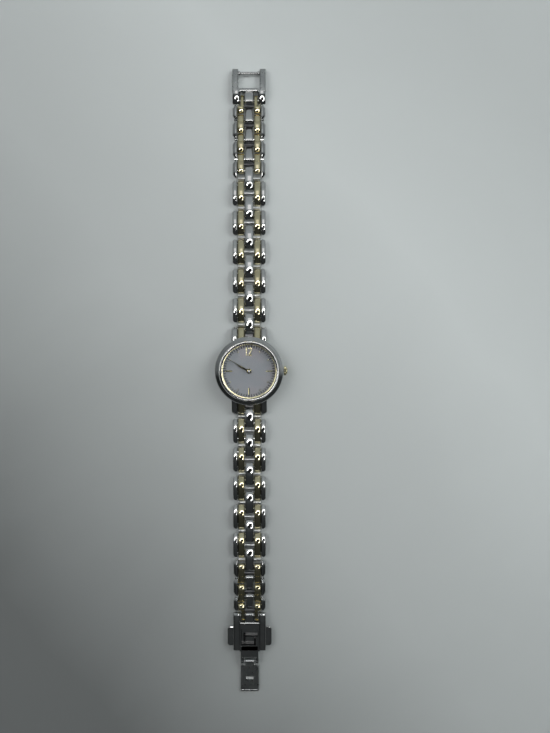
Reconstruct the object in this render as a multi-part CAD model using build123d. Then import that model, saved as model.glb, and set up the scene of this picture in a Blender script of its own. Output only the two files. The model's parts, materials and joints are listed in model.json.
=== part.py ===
from build123d import *
import math
import os

os.makedirs("parts", exist_ok=True)

# Frame: +X towards 3 o'clock (the crown), +Y towards 12, +Z out of the dial.
# The origin is on the case back's resting face, under the middle of the dial.
# The watch lies open and flat, so every link also rests on z = 0.

# Clearances and cuts
running_gap = 0.05
fixed_gap = 0.01
side_gap = 0.15
overrun = 1.0

# Case
case_diameter = 22.0
case_foot = 0.5
case_height = 4.7
case_lower_round = 0.85
case_shoulder_drop = 1.8
lug_reach = 3.15
lug_width = 11.5
lug_rise = 1.1
lug_overlap = 1.5
bridge_reach = 1.15
bridge_height = 1.7

# Bezel, dial ring and crystal
case_shoulder_width = 1.25
bezel_width = 0.7
dial_ledge = 0.95
bezel_height = 1.0
bezel_edge = 0.4
dial_level = 3.7
dial_thickness = 0.25
dial_seat = 0.5
dial_ring_height = 1.0
dial_ring_width = 0.6
dial_ring_lip = 0.25
crystal_thickness = 0.8
crystal_dome = 0.2
crystal_bevel = 0.2
gasket_width = 0.2

# Case back
back_thickness = 0.8
back_seat = 0.6
back_land = 0.35
back_rim_height = 0.65
back_rim_wall = 0.35
back_chamfer = 0.35

# Movement
movement_floor = 1.1
plate_thickness = 1.85
holder_wall = 0.4
pocket_roof = 0.1
battery_diameter = 6.8
battery_thickness = 1.65
battery_lip = 0.25
battery_lip_inset = 0.5
battery_angle = 250.0
coil_length = 6.0
coil_diameter = 1.5
coil_inset = 3.0
core_length = 8.6
core_width = 1.0
core_thickness = 0.4
board_thickness = 0.15
rotor_diameter = 1.2
rotor_x = -4.2
rotor_from_coil = 2.1
rotor_height = 0.5
rotor_pinion_diameter = 0.5

# Motion work
wheel_module = 0.12
wheel_thickness = 0.15
wheel_lift = 0.05
cannon_teeth = 12
minute_wheel_teeth = 36
minute_pinion_teeth = 10
hour_wheel_teeth = 40
cannon_shaft_diameter = 0.72
hour_tube_wall = 0.18
wheel_post_diameter = 0.5

# Hands and markers
hour_hand_gap = 2.5
hour_hand_width = 0.62
minute_hand_gap = 0.4
minute_hand_width = 0.5
hand_thickness = 0.12
hand_tail = 1.1
hand_gap = 0.2
hand_boss_diameter = 1.3
hand_cap_height = 0.12
marker_height = 0.2
baton_length = 1.7
baton_width = 0.42
dot_diameter = 0.42
marker_margin = 0.8
numeral_height = 2.6
numeral_stroke = 0.38
numeral_width = 1.15
numeral_space = 0.35
minute_hand_angle = 300.5
hour_hand_angle = 295.0

# Crown and setting
crown_diameter = 3.0
crown_thickness = 1.15
crown_cap_diameter = 2.1
crown_cap_thickness = 0.35
crown_flutes = 18
crown_flute_depth = 0.12
stem_height = 2.05
stem_diameter = 0.8
stem_tip = 0.6
stem_groove_inset = 2.5
stem_groove_width = 0.5
stem_groove_depth = 0.15
crown_travel = 1.0
lever_width = 1.1
lever_length = 2.6
crown_gasket_width = 0.33
crown_gasket_length = 0.5

# Bracelet, large links
bracelet_width = 10.7
link_thickness = 2.2
link_pitch = 9.36
block_length = 7.9
column_length = 7.2
short_reach = 2.5
centre_gap = 3.1
gold_width = 2.2
bar_diameter = 1.2
bar_span = 7.3
pin_diameter = 0.7
pin_depth = 1.0
crown_radius = 8.0
edge_round = 0.5
block_count = 5

# Bracelet, small links
small_pitch = 6.18
small_bar_diameter = 1.0
small_bar_gap = 0.35
ear_lead = 4.3
ear_length = 5.6
ear_corner = 0.75
ear_corner_length = 1.1
small_gold_lead = 2.35
tail_diameter = 1.7
tail_extra = 0.75
tail_gap = 0.35
tongue_gap = 0.1
tongue_end_width = 1.84
end_gap = 0.35

# Clasp frame, on the 12 side
clasp_crown_radius = 48.0
slot_width = 5.8
slot_depth = 2.6
frame_length = 11.1
frame_web = 1.15
frame_window_width = 6.8
frame_end = 0.7
frame_bar_diameter = 1.4
frame_bar_neck = 1.0
frame_collar_length = 0.7
frame_bar_depth = 1.0

# Clasp box, on the 6 side
box_length = 12.8
rail_height = 2.6
deck_height = 2.1
floor_thickness = 0.4
roof_thickness = 0.5
ridge_height = 0.3
ridge_width = 0.8
box_wall = 0.85
box_slot_depth = 2.0
window_width = 5.3
window_length = 7.0
window_end_wall = 0.3
knuckle_length = 2.0
hinge_reach = 3.4
hinge_height = 1.45
hinge_eye_diameter = 1.5
hinge_pin_diameter = 0.6
hinge_ear_width = 1.0

# Clasp tongue
blade_width = 5.9
blade_thickness = 0.6
blade_reach = 10.4
blade_start = 1.55
blade_corner = 0.5
tongue_knuckle_width = 2.8
catch_width = 2.4
catch_length = 2.0
catch_height = 0.8
catch_reach = 5.9

# Push buttons
button_length = 6.2
button_thickness = 1.2
button_stand = 1.85
button_corner = 0.9
button_travel = 0.6
button_lift = 0.05
button_guide = 0.7
arm_width = 0.5
hook_width = 0.7
hook_gap = 0.15

# Shares
tooth_root_share = 0.62
tooth_tip_share = 0.24
addendum_share = 0.8
dedendum_share = 1.1

# Sizes that follow
case_radius = case_diameter / 2
bezel_radius = case_radius - case_shoulder_width
bezel_bore = bezel_radius - bezel_width
movement_radius = bezel_bore - dial_ledge
dial_radius = movement_radius + dial_seat
ring_radius = bezel_bore - running_gap
crystal_level = dial_level + dial_thickness + dial_ring_height
crystal_radius = bezel_bore - gasket_width
plate_radius = movement_radius - holder_wall - 2 * running_gap
plate_top = movement_floor + plate_thickness
coil_offset = plate_radius - coil_inset
rotor_y = coil_offset - rotor_from_coil
marker_reach = ring_radius - dial_ring_width - marker_margin
minute_hand_length = marker_reach - minute_hand_gap
hour_hand_length = minute_hand_length - hour_hand_gap
back_radius = movement_radius + back_seat - running_gap
back_step = case_foot + back_land
stem_radius = stem_diameter / 2
stem_groove_at = plate_radius - stem_groove_inset
stem_inner_end = stem_groove_at - stem_groove_width / 2 - stem_tip
pin_z = link_thickness / 2
half_width = bracelet_width / 2
gold_inner = centre_gap / 2
gold_outer = gold_inner + gold_width
column_half = gold_inner - side_gap
lug_end = case_radius + lug_reach
small_count_12 = block_count - 1
small_count_6 = small_count_12 - 1
block_gap = link_pitch - block_length
first_centre = lug_end + block_gap / 2
pin_from_block = (link_pitch - column_length + block_length) / 4
pin_from_centre = link_pitch / 2 - pin_from_block
lug_pin_y = first_centre - (short_reach - pin_z)
last_centre = first_centre + block_count * link_pitch
last_centre_pin = last_centre + column_length / 2 - pin_z
first_bar = last_centre + column_length / 2 + small_bar_gap + small_bar_diameter / 2
pin_from_bar = small_bar_diameter / 2 + tongue_gap + pin_z
pin_half_length = gold_outer + pin_depth


def saved(name, *shapes):
    """Write one node, all its separate solids together."""
    solids = [solid for shape in shapes for solid in shape.solids()]
    export_step(Compound(children=solids), f"parts/{name}.step")


def turned(points):
    """A solid of revolution about Z from (radius, height) points."""
    return revolve(Plane.XZ * make_face(Polyline(*points, close=True)), Axis.Z)


def disc(radius, low, high, x=0, y=0):
    """A round plate between two heights."""
    return Pos(x, y, (low + high) / 2) * Cylinder(radius, high - low)


def slab(x0, x1, y0, y1, z0, z1):
    """A box between two corners."""
    return Pos((x0 + x1) / 2, (y0 + y1) / 2, (z0 + z1) / 2) * Box(x1 - x0, y1 - y0, z1 - z0)


def rod(radius, x0, x1, y, z):
    """A round bar along X."""
    return Pos((x0 + x1) / 2, y, z) * Rot(0, 90, 0) * Cylinder(radius, x1 - x0)


def both_sides(shape):
    """The shape and its mirror image across the bracelet."""
    return [shape, mirror(shape, about=Plane.YZ)]


def facing(shape, side):
    """Shapes are drawn on the 12 side. The 6 side is their mirror image."""
    return shape if side == 12 else mirror(shape, about=Plane.XZ)


def loaf_profile(y0, y1, height, radius):
    """A side view with round ends and a crowned top."""
    middle = (y0 + y1) / 2
    capsule = Pos(middle, height / 2) * SlotOverall(y1 - y0, height)
    return capsule & Pos(middle, height - radius) * Circle(radius)


def across(profile, x0, x1):
    """Run a side view across the bracelet from x0 to x1."""
    return extrude(Plane.YZ.offset(x0) * profile, amount=x1 - x0)


def rounded_across(x0, x1, y0, y1, height, radius=edge_round):
    """A bar along Y whose two top edges are rounded."""
    outline = Pos((x0 + x1) / 2, height / 2) * Rectangle(x1 - x0, height)
    outline = fillet(outline.vertices().group_by(Axis.Y)[-1], radius)
    return extrude(Plane.XZ.offset(-y1) * outline, amount=y1 - y0)


def domed(x0, x1, y0, y1, height=link_thickness, radius=crown_radius):
    """One polished, domed column of the bracelet."""
    side_view = loaf_profile(y0, y1, height, radius)
    return across(side_view, x0, x1) & rounded_across(x0, x1, y0, y1, height)


def bore(y, diameter=pin_diameter, half=pin_half_length, gap=fixed_gap):
    """The hole that a cross pin leaves."""
    return rod(diameter / 2 + gap, -half - gap, half + gap, y, pin_z)


def cross_pin(y, half=pin_half_length):
    """A hinge pin across the bracelet."""
    return rod(pin_diameter / 2, -half, half, y, pin_z)


def gear(teeth, module, low, high, phase):
    """A flat wheel with straight-sided teeth, one tooth centred on the phase angle."""
    root = module * (teeth / 2 - dedendum_share)
    tip = module * (teeth / 2 + addendum_share)
    step = 360 / teeth
    outline = []
    for index in range(teeth):
        middle = phase + index * step
        for radius, share in ((root, -tooth_root_share), (tip, -tooth_tip_share),
                              (tip, tooth_tip_share), (root, tooth_root_share)):
            angle = math.radians(middle + share * step / 2)
            outline.append((radius * math.cos(angle), radius * math.sin(angle)))
    face = make_face(Polyline(*outline, close=True))
    return extrude(Pos(0, 0, low) * face, amount=high - low)


# Case
def lug_profile():
    """Side view of a lug, thin at its end and rising to the case wall."""
    inner = case_radius - lug_overlap
    arc_y = lug_end - pin_z
    outline = [
        Line((inner, case_foot), (arc_y, 0)),
        ThreePointArc((arc_y, 0), (lug_end, pin_z), (arc_y, link_thickness)),
        Line((arc_y, link_thickness), (inner, link_thickness + lug_rise)),
        Line((inner, link_thickness + lug_rise), (inner, case_foot)),
    ]
    return make_face(outline)


def lug(x0, x1):
    """One lug column."""
    return across(lug_profile(), x0, x1)


def case_ring():
    """The round case middle, turned from bar."""
    shoulder = case_height - case_shoulder_drop
    lower = case_foot + case_lower_round
    outer = case_radius
    foot = outer - case_lower_round
    seat = dial_level + dial_thickness
    slant = math.sqrt(0.5)
    inset = outer - bezel_radius
    shoulder_radius = (inset**2 + case_shoulder_drop**2) / (2 * inset)
    half_turn = math.asin(case_shoulder_drop / shoulder_radius) / 2
    outline = [
        Line((back_radius + running_gap, case_foot), (foot, case_foot)),
        ThreePointArc(
            (foot, case_foot),
            (foot + case_lower_round * slant, lower - case_lower_round * slant),
            (outer, lower),
        ),
        Line((outer, lower), (outer, shoulder)),
        ThreePointArc(
            (outer, shoulder),
            (
                outer - shoulder_radius * (1 - math.cos(half_turn)),
                shoulder + shoulder_radius * math.sin(half_turn),
            ),
            (bezel_radius, case_height),
        ),
        Polyline(
            (bezel_radius, case_height),
            (bezel_bore, case_height),
            (bezel_bore, seat),
            (dial_radius + running_gap, seat),
            (dial_radius + running_gap, dial_level),
            (movement_radius, dial_level),
            (movement_radius, back_step + back_land),
            (back_radius + running_gap, back_step + back_land),
            (back_radius + running_gap, case_foot),
        ),
    ]
    return revolve(Plane.XZ * make_face(outline), Axis.Z)


def case_middle():
    """Case ring with the silver lugs, the bridges between them and the stem hole."""
    body = case_ring()
    bridge = slab(-gold_inner, gold_inner, case_radius - lug_overlap, case_radius + bridge_reach,
                  case_foot, bridge_height)
    silver = lug(gold_outer, lug_width / 2)
    for side in (12, 6):
        for piece in both_sides(silver) + [bridge]:
            body += facing(piece, side)
        body -= facing(bore(lug_pin_y), side)
    body -= rod(stem_radius + running_gap, movement_radius - overrun, case_radius + overrun, 0,
                stem_height)
    body -= rod(stem_radius + crown_gasket_width + fixed_gap, case_radius - crown_gasket_length,
                case_radius + overrun, 0, stem_height)
    body -= disc(movement_radius, case_foot + back_land, dial_level)
    return body


def lug_inlays():
    """Gold columns set between the silver lugs."""
    inlay = lug(gold_inner, gold_outer) - disc(case_radius, -overrun, case_height)
    inlay -= bore(lug_pin_y)
    return [facing(piece, side) for side in (12, 6) for piece in both_sides(inlay)]


def bezel():
    """Polished ring that holds the crystal."""
    top = case_height + bezel_height
    outline = [
        Polyline((bezel_bore, case_height), (bezel_radius, case_height),
                 (bezel_radius, top - bezel_edge)),
        ThreePointArc(
            (bezel_radius, top - bezel_edge),
            (bezel_radius - bezel_edge * (1 - math.sqrt(0.5)), top - bezel_edge * (1 - math.sqrt(0.5))),
            (bezel_radius - bezel_edge, top),
        ),
        Polyline((bezel_radius - bezel_edge, top), (bezel_bore, top - bezel_edge / 2),
                 (bezel_bore, case_height)),
    ]
    return revolve(Plane.XZ * make_face(outline), Axis.Z)


def dial_ring():
    """Gold sloping ring between the dial and the crystal."""
    low = dial_level + dial_thickness
    inner = ring_radius - dial_ring_width
    return turned([
        (inner, low),
        (ring_radius, low),
        (ring_radius, crystal_level),
        (ring_radius - dial_ring_lip, crystal_level),
        (inner, low + dial_ring_lip),
    ])


def crystal():
    """Mineral glass with a bevelled edge and a slight dome."""
    edge = crystal_level + crystal_thickness
    reach = crystal_radius - crystal_bevel
    dome_radius = (reach**2 + crystal_dome**2) / (2 * crystal_dome)
    half_turn = math.asin(reach / dome_radius) / 2
    top = edge + crystal_dome
    outline = [
        Polyline((0, top), (0, crystal_level), (crystal_radius, crystal_level),
                 (crystal_radius, edge - crystal_bevel), (reach, edge)),
        ThreePointArc(
            (reach, edge),
            (dome_radius * math.sin(half_turn), top - dome_radius * (1 - math.cos(half_turn))),
            (0, top),
        ),
    ]
    return revolve(Plane.XZ * make_face(outline), Axis.Z)


def gaskets():
    """Sealing rings of the crystal, the case back and the stem."""
    crystal_ring = turned([
        (crystal_radius, crystal_level),
        (bezel_bore, crystal_level),
        (bezel_bore, crystal_level + crystal_thickness - crystal_bevel),
        (crystal_radius, crystal_level + crystal_thickness - crystal_bevel),
    ])
    back_ring = turned([
        (movement_radius, back_step),
        (back_radius, back_step),
        (back_radius, back_step + back_land),
        (movement_radius, back_step + back_land),
    ])
    stem_ring = rod(stem_radius + crown_gasket_width, case_radius - crown_gasket_length, case_radius,
                    0, stem_height)
    stem_ring -= rod(stem_radius + running_gap, 0, case_radius + overrun, 0, stem_height)
    return [crystal_ring, back_ring, stem_ring]


def case_back():
    """Snap-on back, the face that the watch rests on."""
    rim = movement_radius - running_gap
    return turned([
        (0, 0),
        (back_radius - back_chamfer, 0),
        (back_radius, back_chamfer),
        (back_radius, back_step),
        (rim, back_step),
        (rim, back_step + back_rim_height),
        (rim - back_rim_wall, back_step + back_rim_height),
        (rim - back_rim_wall, back_thickness),
        (0, back_thickness),
    ])


# Dial, markers and hands
def dial():
    """Round dial with a hole for the hand tubes."""
    hole = cannon_shaft_diameter / 2 + hour_tube_wall + 3 * running_gap
    plate = disc(dial_radius, dial_level, dial_level + dial_thickness)
    return plate - disc(hole, 0, case_height)


def at_hour(shape, hour):
    """Turn a marker drawn at 12 round to its hour."""
    return Rot(0, 0, -30 * hour) * shape


def baton():
    """Applied hour baton."""
    low = dial_level + dial_thickness
    half = baton_width / 2
    return slab(-half, half, marker_reach - baton_length, marker_reach, low, low + marker_height)


def numeral_one(x, low_y, high_y, low):
    """The figure 1 of the 12 marker."""
    half = numeral_stroke / 2
    return slab(x - half, x + half, low_y, high_y, low, low + marker_height)


def numeral_two(x, low_y, high_y, low):
    """The figure 2 of the 12 marker, a hook, a slanting stroke and a foot."""
    radius = numeral_width / 2
    centre_y = high_y - radius
    hook = Pos(x, centre_y) * (Circle(radius) - Circle(radius - numeral_stroke))
    hook -= Pos(x - radius, centre_y - radius) * Rectangle(2 * radius, 2 * radius)
    hook -= Pos(x, centre_y - radius) * Rectangle(2 * radius, 2 * radius)
    stroke = make_face(Polyline(
        (x - radius, low_y),
        (x - radius + 1.5 * numeral_stroke, low_y),
        (x + radius, centre_y),
        (x + radius - numeral_stroke, centre_y),
        close=True,
    ))
    foot = Pos(x, low_y + numeral_stroke / 2) * Rectangle(2 * radius, numeral_stroke)
    return extrude(Pos(0, 0, low) * (hook + stroke + foot), amount=marker_height)


def dial_markers():
    """The 12, three batons and eight dots, all standing on the dial."""
    low = dial_level + dial_thickness
    low_y = marker_reach - numeral_height
    one_x = -(numeral_width + numeral_space) / 2
    two_x = one_x + (numeral_stroke + numeral_width) / 2 + numeral_space
    pieces = [
        numeral_one(one_x, low_y, marker_reach, low),
        numeral_two(two_x, low_y, marker_reach, low),
    ]
    dot_y = marker_reach - dot_diameter / 2
    for hour in range(1, 12):
        if hour % 3 == 0:
            pieces.append(at_hour(baton(), hour))
        else:
            dot = disc(dot_diameter / 2, low, low + marker_height, 0, dot_y)
            pieces.append(at_hour(dot, hour))
    return pieces


hour_hand_level = dial_level + dial_thickness + marker_height + hand_gap / 2
minute_hand_level = hour_hand_level + hand_thickness + hand_gap / 2


def hand(length, width, level, hole_radius):
    """A slim pointed hand with a round boss."""
    outline = make_face(Polyline(
        (0, -hand_tail),
        (width / 2, 0),
        (0, length),
        (-width / 2, 0),
        close=True,
    ))
    face = outline + Circle(hand_boss_diameter / 2) - Circle(hole_radius)
    return extrude(Pos(0, 0, level) * face, amount=hand_thickness)


def hour_hand():
    """Hour hand, pressed on the hour wheel's tube."""
    bore_radius = cannon_shaft_diameter / 2 + running_gap + hour_tube_wall + fixed_gap
    shape = hand(hour_hand_length, hour_hand_width, hour_hand_level, bore_radius)
    return Rot(0, 0, -hour_hand_angle) * shape


def minute_hand():
    """Minute hand, pressed on the cannon pinion."""
    shape = hand(minute_hand_length, minute_hand_width, minute_hand_level,
                 cannon_shaft_diameter / 2 + fixed_gap)
    return Rot(0, 0, -minute_hand_angle) * shape


# Motion work under the dial
minute_axis_y = wheel_module * (cannon_teeth + minute_wheel_teeth) / 2
hour_module = 2 * minute_axis_y / (minute_pinion_teeth + hour_wheel_teeth)
wheel_low = plate_top + wheel_lift
hour_wheel_low = wheel_low + 2 * wheel_thickness - wheel_lift


def cannon_pinion():
    """Toothed shaft that carries the minute hand."""
    teeth = gear(cannon_teeth, wheel_module, wheel_low, wheel_low + wheel_thickness, 90)
    top = minute_hand_level + hand_thickness + hand_cap_height
    low = plate_top - wheel_thickness
    return teeth + disc(cannon_shaft_diameter / 2, low, top)


def minute_wheel():
    """Wheel and pinion that turn the hour wheel from the cannon pinion."""
    step = 360 / minute_wheel_teeth
    wheel = gear(minute_wheel_teeth, wheel_module, wheel_low, wheel_low + wheel_thickness,
                 270 + step / 2)
    pinion = gear(minute_pinion_teeth, hour_module, wheel_low + wheel_thickness,
                  hour_wheel_low + wheel_thickness + wheel_lift, 270)
    body = wheel + pinion - disc(wheel_post_diameter / 2 + running_gap, 0, case_height)
    return Pos(0, minute_axis_y) * body


def hour_wheel():
    """Wheel whose tube carries the hour hand."""
    step = 360 / hour_wheel_teeth
    inner = cannon_shaft_diameter / 2 + running_gap
    wheel = gear(hour_wheel_teeth, hour_module, hour_wheel_low, hour_wheel_low + wheel_thickness,
                 90 + step / 2)
    tube = disc(inner + hour_tube_wall, hour_wheel_low, hour_hand_level + hand_thickness)
    return wheel + tube - disc(inner, 0, case_height)


# Movement
battery_reach = plate_radius - battery_diameter / 2 - 4 * running_gap
battery_x = battery_reach * math.cos(math.radians(battery_angle))
battery_y = battery_reach * math.sin(math.radians(battery_angle))
battery_low = movement_floor + running_gap
lever_x0 = stem_groove_at - stem_groove_width / 2 + running_gap
lever_x1 = stem_groove_at + stem_groove_width / 2 - running_gap


def main_plate():
    """Round plate with pockets for the cell, the coil, the rotor and the stem."""
    pocket_top = plate_top - pocket_roof
    body = disc(plate_radius, movement_floor, plate_top)
    body -= disc(battery_diameter / 2 + running_gap, 0, pocket_top, battery_x, battery_y)
    half = core_length / 2 + running_gap
    side = coil_diameter / 2 + running_gap
    body -= slab(-half, half, coil_offset - side, coil_offset + side, 0, pocket_top)
    body -= disc(rotor_diameter / 2 + side_gap, movement_floor + pocket_roof, pocket_top, rotor_x,
                 rotor_y)
    body -= disc(rotor_pinion_diameter / 2 + running_gap, movement_floor - overrun, pocket_top,
                 rotor_x, rotor_y)
    body -= disc(cannon_shaft_diameter / 2 + running_gap, 0, case_height)
    channel = stem_radius + 2 * running_gap
    body -= slab(stem_inner_end - channel, plate_radius + overrun, -channel, channel,
                 stem_height - channel, plate_top + overrun)
    body -= slab(lever_x0 - side_gap, lever_x1 + crown_travel + side_gap, -lever_length - side_gap,
                 channel, stem_height - lever_width / 2 - running_gap, plate_top + overrun)
    post = disc(wheel_post_diameter / 2, plate_top - pocket_roof, dial_level - running_gap, 0,
                minute_axis_y)
    return body + post


def movement_holder():
    """Plastic ring that centres the movement and carries the dial."""
    outer = movement_radius - running_gap
    low = back_step + back_rim_height + running_gap
    ring = disc(outer, low, dial_level) - disc(outer - holder_wall, 0, case_height)
    notch = stem_radius + 2 * running_gap
    return ring - slab(0, case_radius, -notch, notch, low - overrun, stem_height + notch)


def battery():
    """Button cell, can and raised negative cap."""
    radius = battery_diameter / 2
    can = disc(radius, battery_low + battery_lip, battery_low + battery_thickness)
    cap = disc(radius - battery_lip_inset, battery_low, battery_low + battery_lip)
    return Pos(battery_x, battery_y) * (can + cap)


def drive_coil():
    """Copper winding on its soft iron core."""
    z = movement_floor + coil_diameter / 2 + running_gap
    core = Pos(0, coil_offset, z) * Box(core_length, core_width, core_thickness)
    winding = rod(coil_diameter / 2, -coil_length / 2, coil_length / 2, coil_offset, z)
    return [core, winding - core]


def circuit_board():
    """Thin board on the back of the plate, cut away round the cell."""
    high = movement_floor
    low = high - board_thickness
    board = disc(plate_radius - running_gap, low, high)
    board -= disc(battery_diameter / 2 + side_gap, 0, case_height, battery_x, battery_y)
    board -= slab(-plate_radius, plate_radius, coil_offset - coil_diameter, plate_radius, 0, plate_top)
    return board - slab(-plate_radius, 0, -plate_radius, plate_radius, 0, plate_top)


def step_rotor():
    """Magnet and pinion of the stepping motor."""
    low = movement_floor + pocket_roof + running_gap
    magnet = disc(rotor_diameter / 2, low, low + rotor_height)
    shaft = disc(rotor_pinion_diameter / 2, movement_floor, plate_top - pocket_roof - running_gap)
    return Pos(rotor_x, rotor_y) * (magnet + shaft)


def setting_lever():
    """Fork that sits in the stem's groove and holds its two positions."""
    half = lever_width / 2
    body = slab(lever_x0, lever_x1, -lever_length, stem_radius, stem_height - half, stem_height + half)
    neck = stem_radius - stem_groove_depth + running_gap
    notch = rod(neck, lever_x0 - overrun, lever_x1 + overrun, 0, stem_height)
    notch += slab(lever_x0 - overrun, lever_x1 + overrun, 0, stem_radius + overrun,
                  stem_height - neck, stem_height + neck)
    return body - notch


def winding_stem():
    """Stem with the groove for the setting lever."""
    neck = stem_radius - stem_groove_depth
    half = stem_groove_width / 2
    body = rod(stem_radius, stem_inner_end, case_radius + side_gap, 0, stem_height)
    groove = rod(stem_radius + overrun, stem_groove_at - half, stem_groove_at + half, 0, stem_height)
    groove -= rod(neck, stem_groove_at - overrun, stem_groove_at + overrun, 0, stem_height)
    return body - groove


def crown():
    """Fluted crown with a smaller domed cap."""
    x0 = case_radius + side_gap
    x1 = x0 + crown_thickness - crown_cap_thickness
    radius = crown_diameter / 2
    body = rod(radius, x0, x1, 0, stem_height)
    for index in range(crown_flutes):
        angle = math.radians(360 * index / crown_flutes)
        body -= rod(crown_flute_depth, x0 - overrun, x1 + overrun, radius * math.cos(angle),
                    stem_height + radius * math.sin(angle))
    cap = rod(crown_cap_diameter / 2, x1, x1 + crown_cap_thickness, 0, stem_height)
    cap = fillet(cap.edges().group_by(Axis.X)[-1], crown_cap_thickness - fixed_gap)
    return body + cap


# Bracelet
def centre_y(index):
    """Middle of a centre link, counted from the head."""
    return first_centre + (index - 1) * link_pitch


def block_y(index):
    """Middle of an H-shaped link."""
    return centre_y(index) + link_pitch / 2


def small_bar_y(index):
    """Crossbar of a small link."""
    return first_bar + (index - 1) * small_pitch


def small_pin_y(index):
    """Hinge pin at the head side of a small link, or of the clasp after the last one."""
    if index == 1:
        return last_centre_pin
    return small_bar_y(index - 1) + pin_from_bar


def centre_link(index):
    """A domed column with its own crossbar."""
    middle = centre_y(index)
    inner_end = middle - (short_reach if index == 1 else column_length / 2)
    outer_end = middle + column_length / 2
    inner_pin = lug_pin_y if index == 1 else middle - pin_from_centre
    outer_pin = last_centre_pin if index > block_count else middle + pin_from_centre
    column = domed(-column_half, column_half, inner_end, outer_end)
    for pin in (inner_pin, outer_pin):
        column -= bore(pin, gap=running_gap)
    column -= bore(middle, bar_diameter)
    bar = rod(bar_diameter / 2, -bar_span / 2, bar_span / 2, middle, pin_z)
    return [column, bar]


def block_link(index):
    """Two silver blocks and two gold columns round a crossbar and two pins."""
    middle = block_y(index)
    low = middle - block_length / 2
    high = middle + block_length / 2
    pins = [middle - pin_from_block, middle + pin_from_block]
    gold = domed(gold_inner, gold_outer, low, high)
    silver = domed(gold_outer, half_width, low, high)
    bar_half = (gold_inner + gold_outer) / 2
    for pin in pins:
        gold -= bore(pin)
        silver -= bore(pin)
    gold -= bore(middle, bar_diameter, bar_half)
    bar = rod(bar_diameter / 2, -bar_half, bar_half, middle, pin_z)
    return both_sides(gold) + both_sides(silver) + [bar] + [cross_pin(pin) for pin in pins]


def ear(y0, y1):
    """Silver side piece of a small link, its outer corners cut on a slant."""
    body = domed(gold_outer, half_width, y0, y1)
    cut = half_width - ear_corner
    plan = make_face(Polyline(
        (gold_outer, y0),
        (cut, y0),
        (half_width, y0 + ear_corner_length),
        (half_width, y1 - ear_corner_length),
        (cut, y1),
        (gold_outer, y1),
        close=True,
    ))
    return body & extrude(plan, amount=link_thickness)


def tongue_blank(head_y, far_y):
    """Centre piece, wide at its head end and narrow at the other."""
    half = tongue_end_width / 2
    plan = make_face(Polyline(
        (-column_half, head_y),
        (column_half, head_y),
        (half, far_y),
        (-half, far_y),
        close=True,
    ))
    return domed(-column_half, column_half, head_y, far_y) & extrude(plan, amount=link_thickness)


def tongue_head_y(index):
    """Head end of the centre tongue that follows a small link's crossbar."""
    return small_pin_y(index) - pin_z


def small_link(index, last):
    """Adjustable link, the last one reaching into the clasp's slot."""
    bar_at = small_bar_y(index)
    pin_at = small_pin_y(index)
    next_pin = small_pin_y(index + 1)
    ear_low = bar_at - ear_lead
    ear_high = next_pin - pin_z - end_gap if last else ear_low + ear_length
    gold_low = pin_at - pin_z if index == 1 else bar_at - small_gold_lead
    tail_outer = slot_width / 2 - side_gap if last else gold_outer
    tail_radius = tail_diameter / 2
    if last:
        tail_high = next_pin + tail_radius + tail_extra
    else:
        tail_high = bar_at + small_pitch - small_gold_lead - tail_gap
    tail = across(
        Pos((gold_low + overrun + tail_high) / 2, pin_z)
        * SlotOverall(tail_high - gold_low - overrun, tail_diameter),
        gold_inner,
        tail_outer,
    )
    gold = domed(gold_inner, gold_outer, gold_low, ear_high) + tail
    silver = ear(ear_low, ear_high)
    bar_half = (gold_inner + gold_outer) / 2
    gold -= bore(bar_at, small_bar_diameter, bar_half)
    gold -= bore(next_pin, half=half_width + overrun, gap=running_gap)
    middle = rod(small_bar_diameter / 2, -bar_half, bar_half, bar_at, pin_z)
    pin = cross_pin(pin_at, gold_outer - fixed_gap)
    if index == 1:
        gold -= bore(pin_at, half=gold_outer + overrun)
        silver -= bore(pin_at)
        pin = cross_pin(pin_at)
    else:
        middle += tongue_blank(tongue_head_y(index), bar_at - fixed_gap)
        middle -= bore(pin_at)
    return both_sides(gold) + both_sides(silver) + [middle, pin]


# Clasp
def clasp_tongue_blank(pin_at, far_y):
    """Centre tongue of the frame or the box, between the last link's gold tails."""
    return domed(-column_half, column_half, pin_at - pin_z, far_y)


def clasp_frame():
    """Forked plate with a window that the folding tongue passes through."""
    pin_at = small_pin_y(small_count_12 + 1)
    low = pin_at - pin_z
    high = low + frame_length
    slot_high = pin_at + slot_depth
    window_low = slot_high + frame_web
    half_slot = slot_width / 2
    body = domed(-half_width, half_width, low, high, radius=clasp_crown_radius)
    body -= slab(-half_slot, half_slot, low - overrun, slot_high, -overrun, link_thickness + overrun)
    body -= slab(-frame_window_width / 2, frame_window_width / 2, window_low, high + overrun, -overrun,
                 link_thickness + overrun)
    body += clasp_tongue_blank(pin_at, slot_high + pin_z)
    body -= bore(pin_at)
    body -= bore(frame_bar_y(), frame_bar_neck, frame_window_width / 2 + frame_bar_depth)
    return [body, cross_pin(pin_at)]


def frame_bar_y():
    """Round bar that closes the frame's window, near the ends of its arms."""
    frame_high = small_pin_y(small_count_12 + 1) - pin_z + frame_length
    return frame_high - frame_end - frame_bar_diameter / 2


def frame_bar():
    """Round bar with a collar at each end, set into the frame's arms."""
    y = frame_bar_y()
    half = frame_window_width / 2
    body = rod(frame_bar_neck / 2, -half - frame_bar_depth, half + frame_bar_depth, y, pin_z)
    collar = rod(frame_bar_diameter / 2, half - frame_collar_length, half - fixed_gap, y, pin_z)
    for piece in both_sides(collar):
        body += piece
    return body


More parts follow.
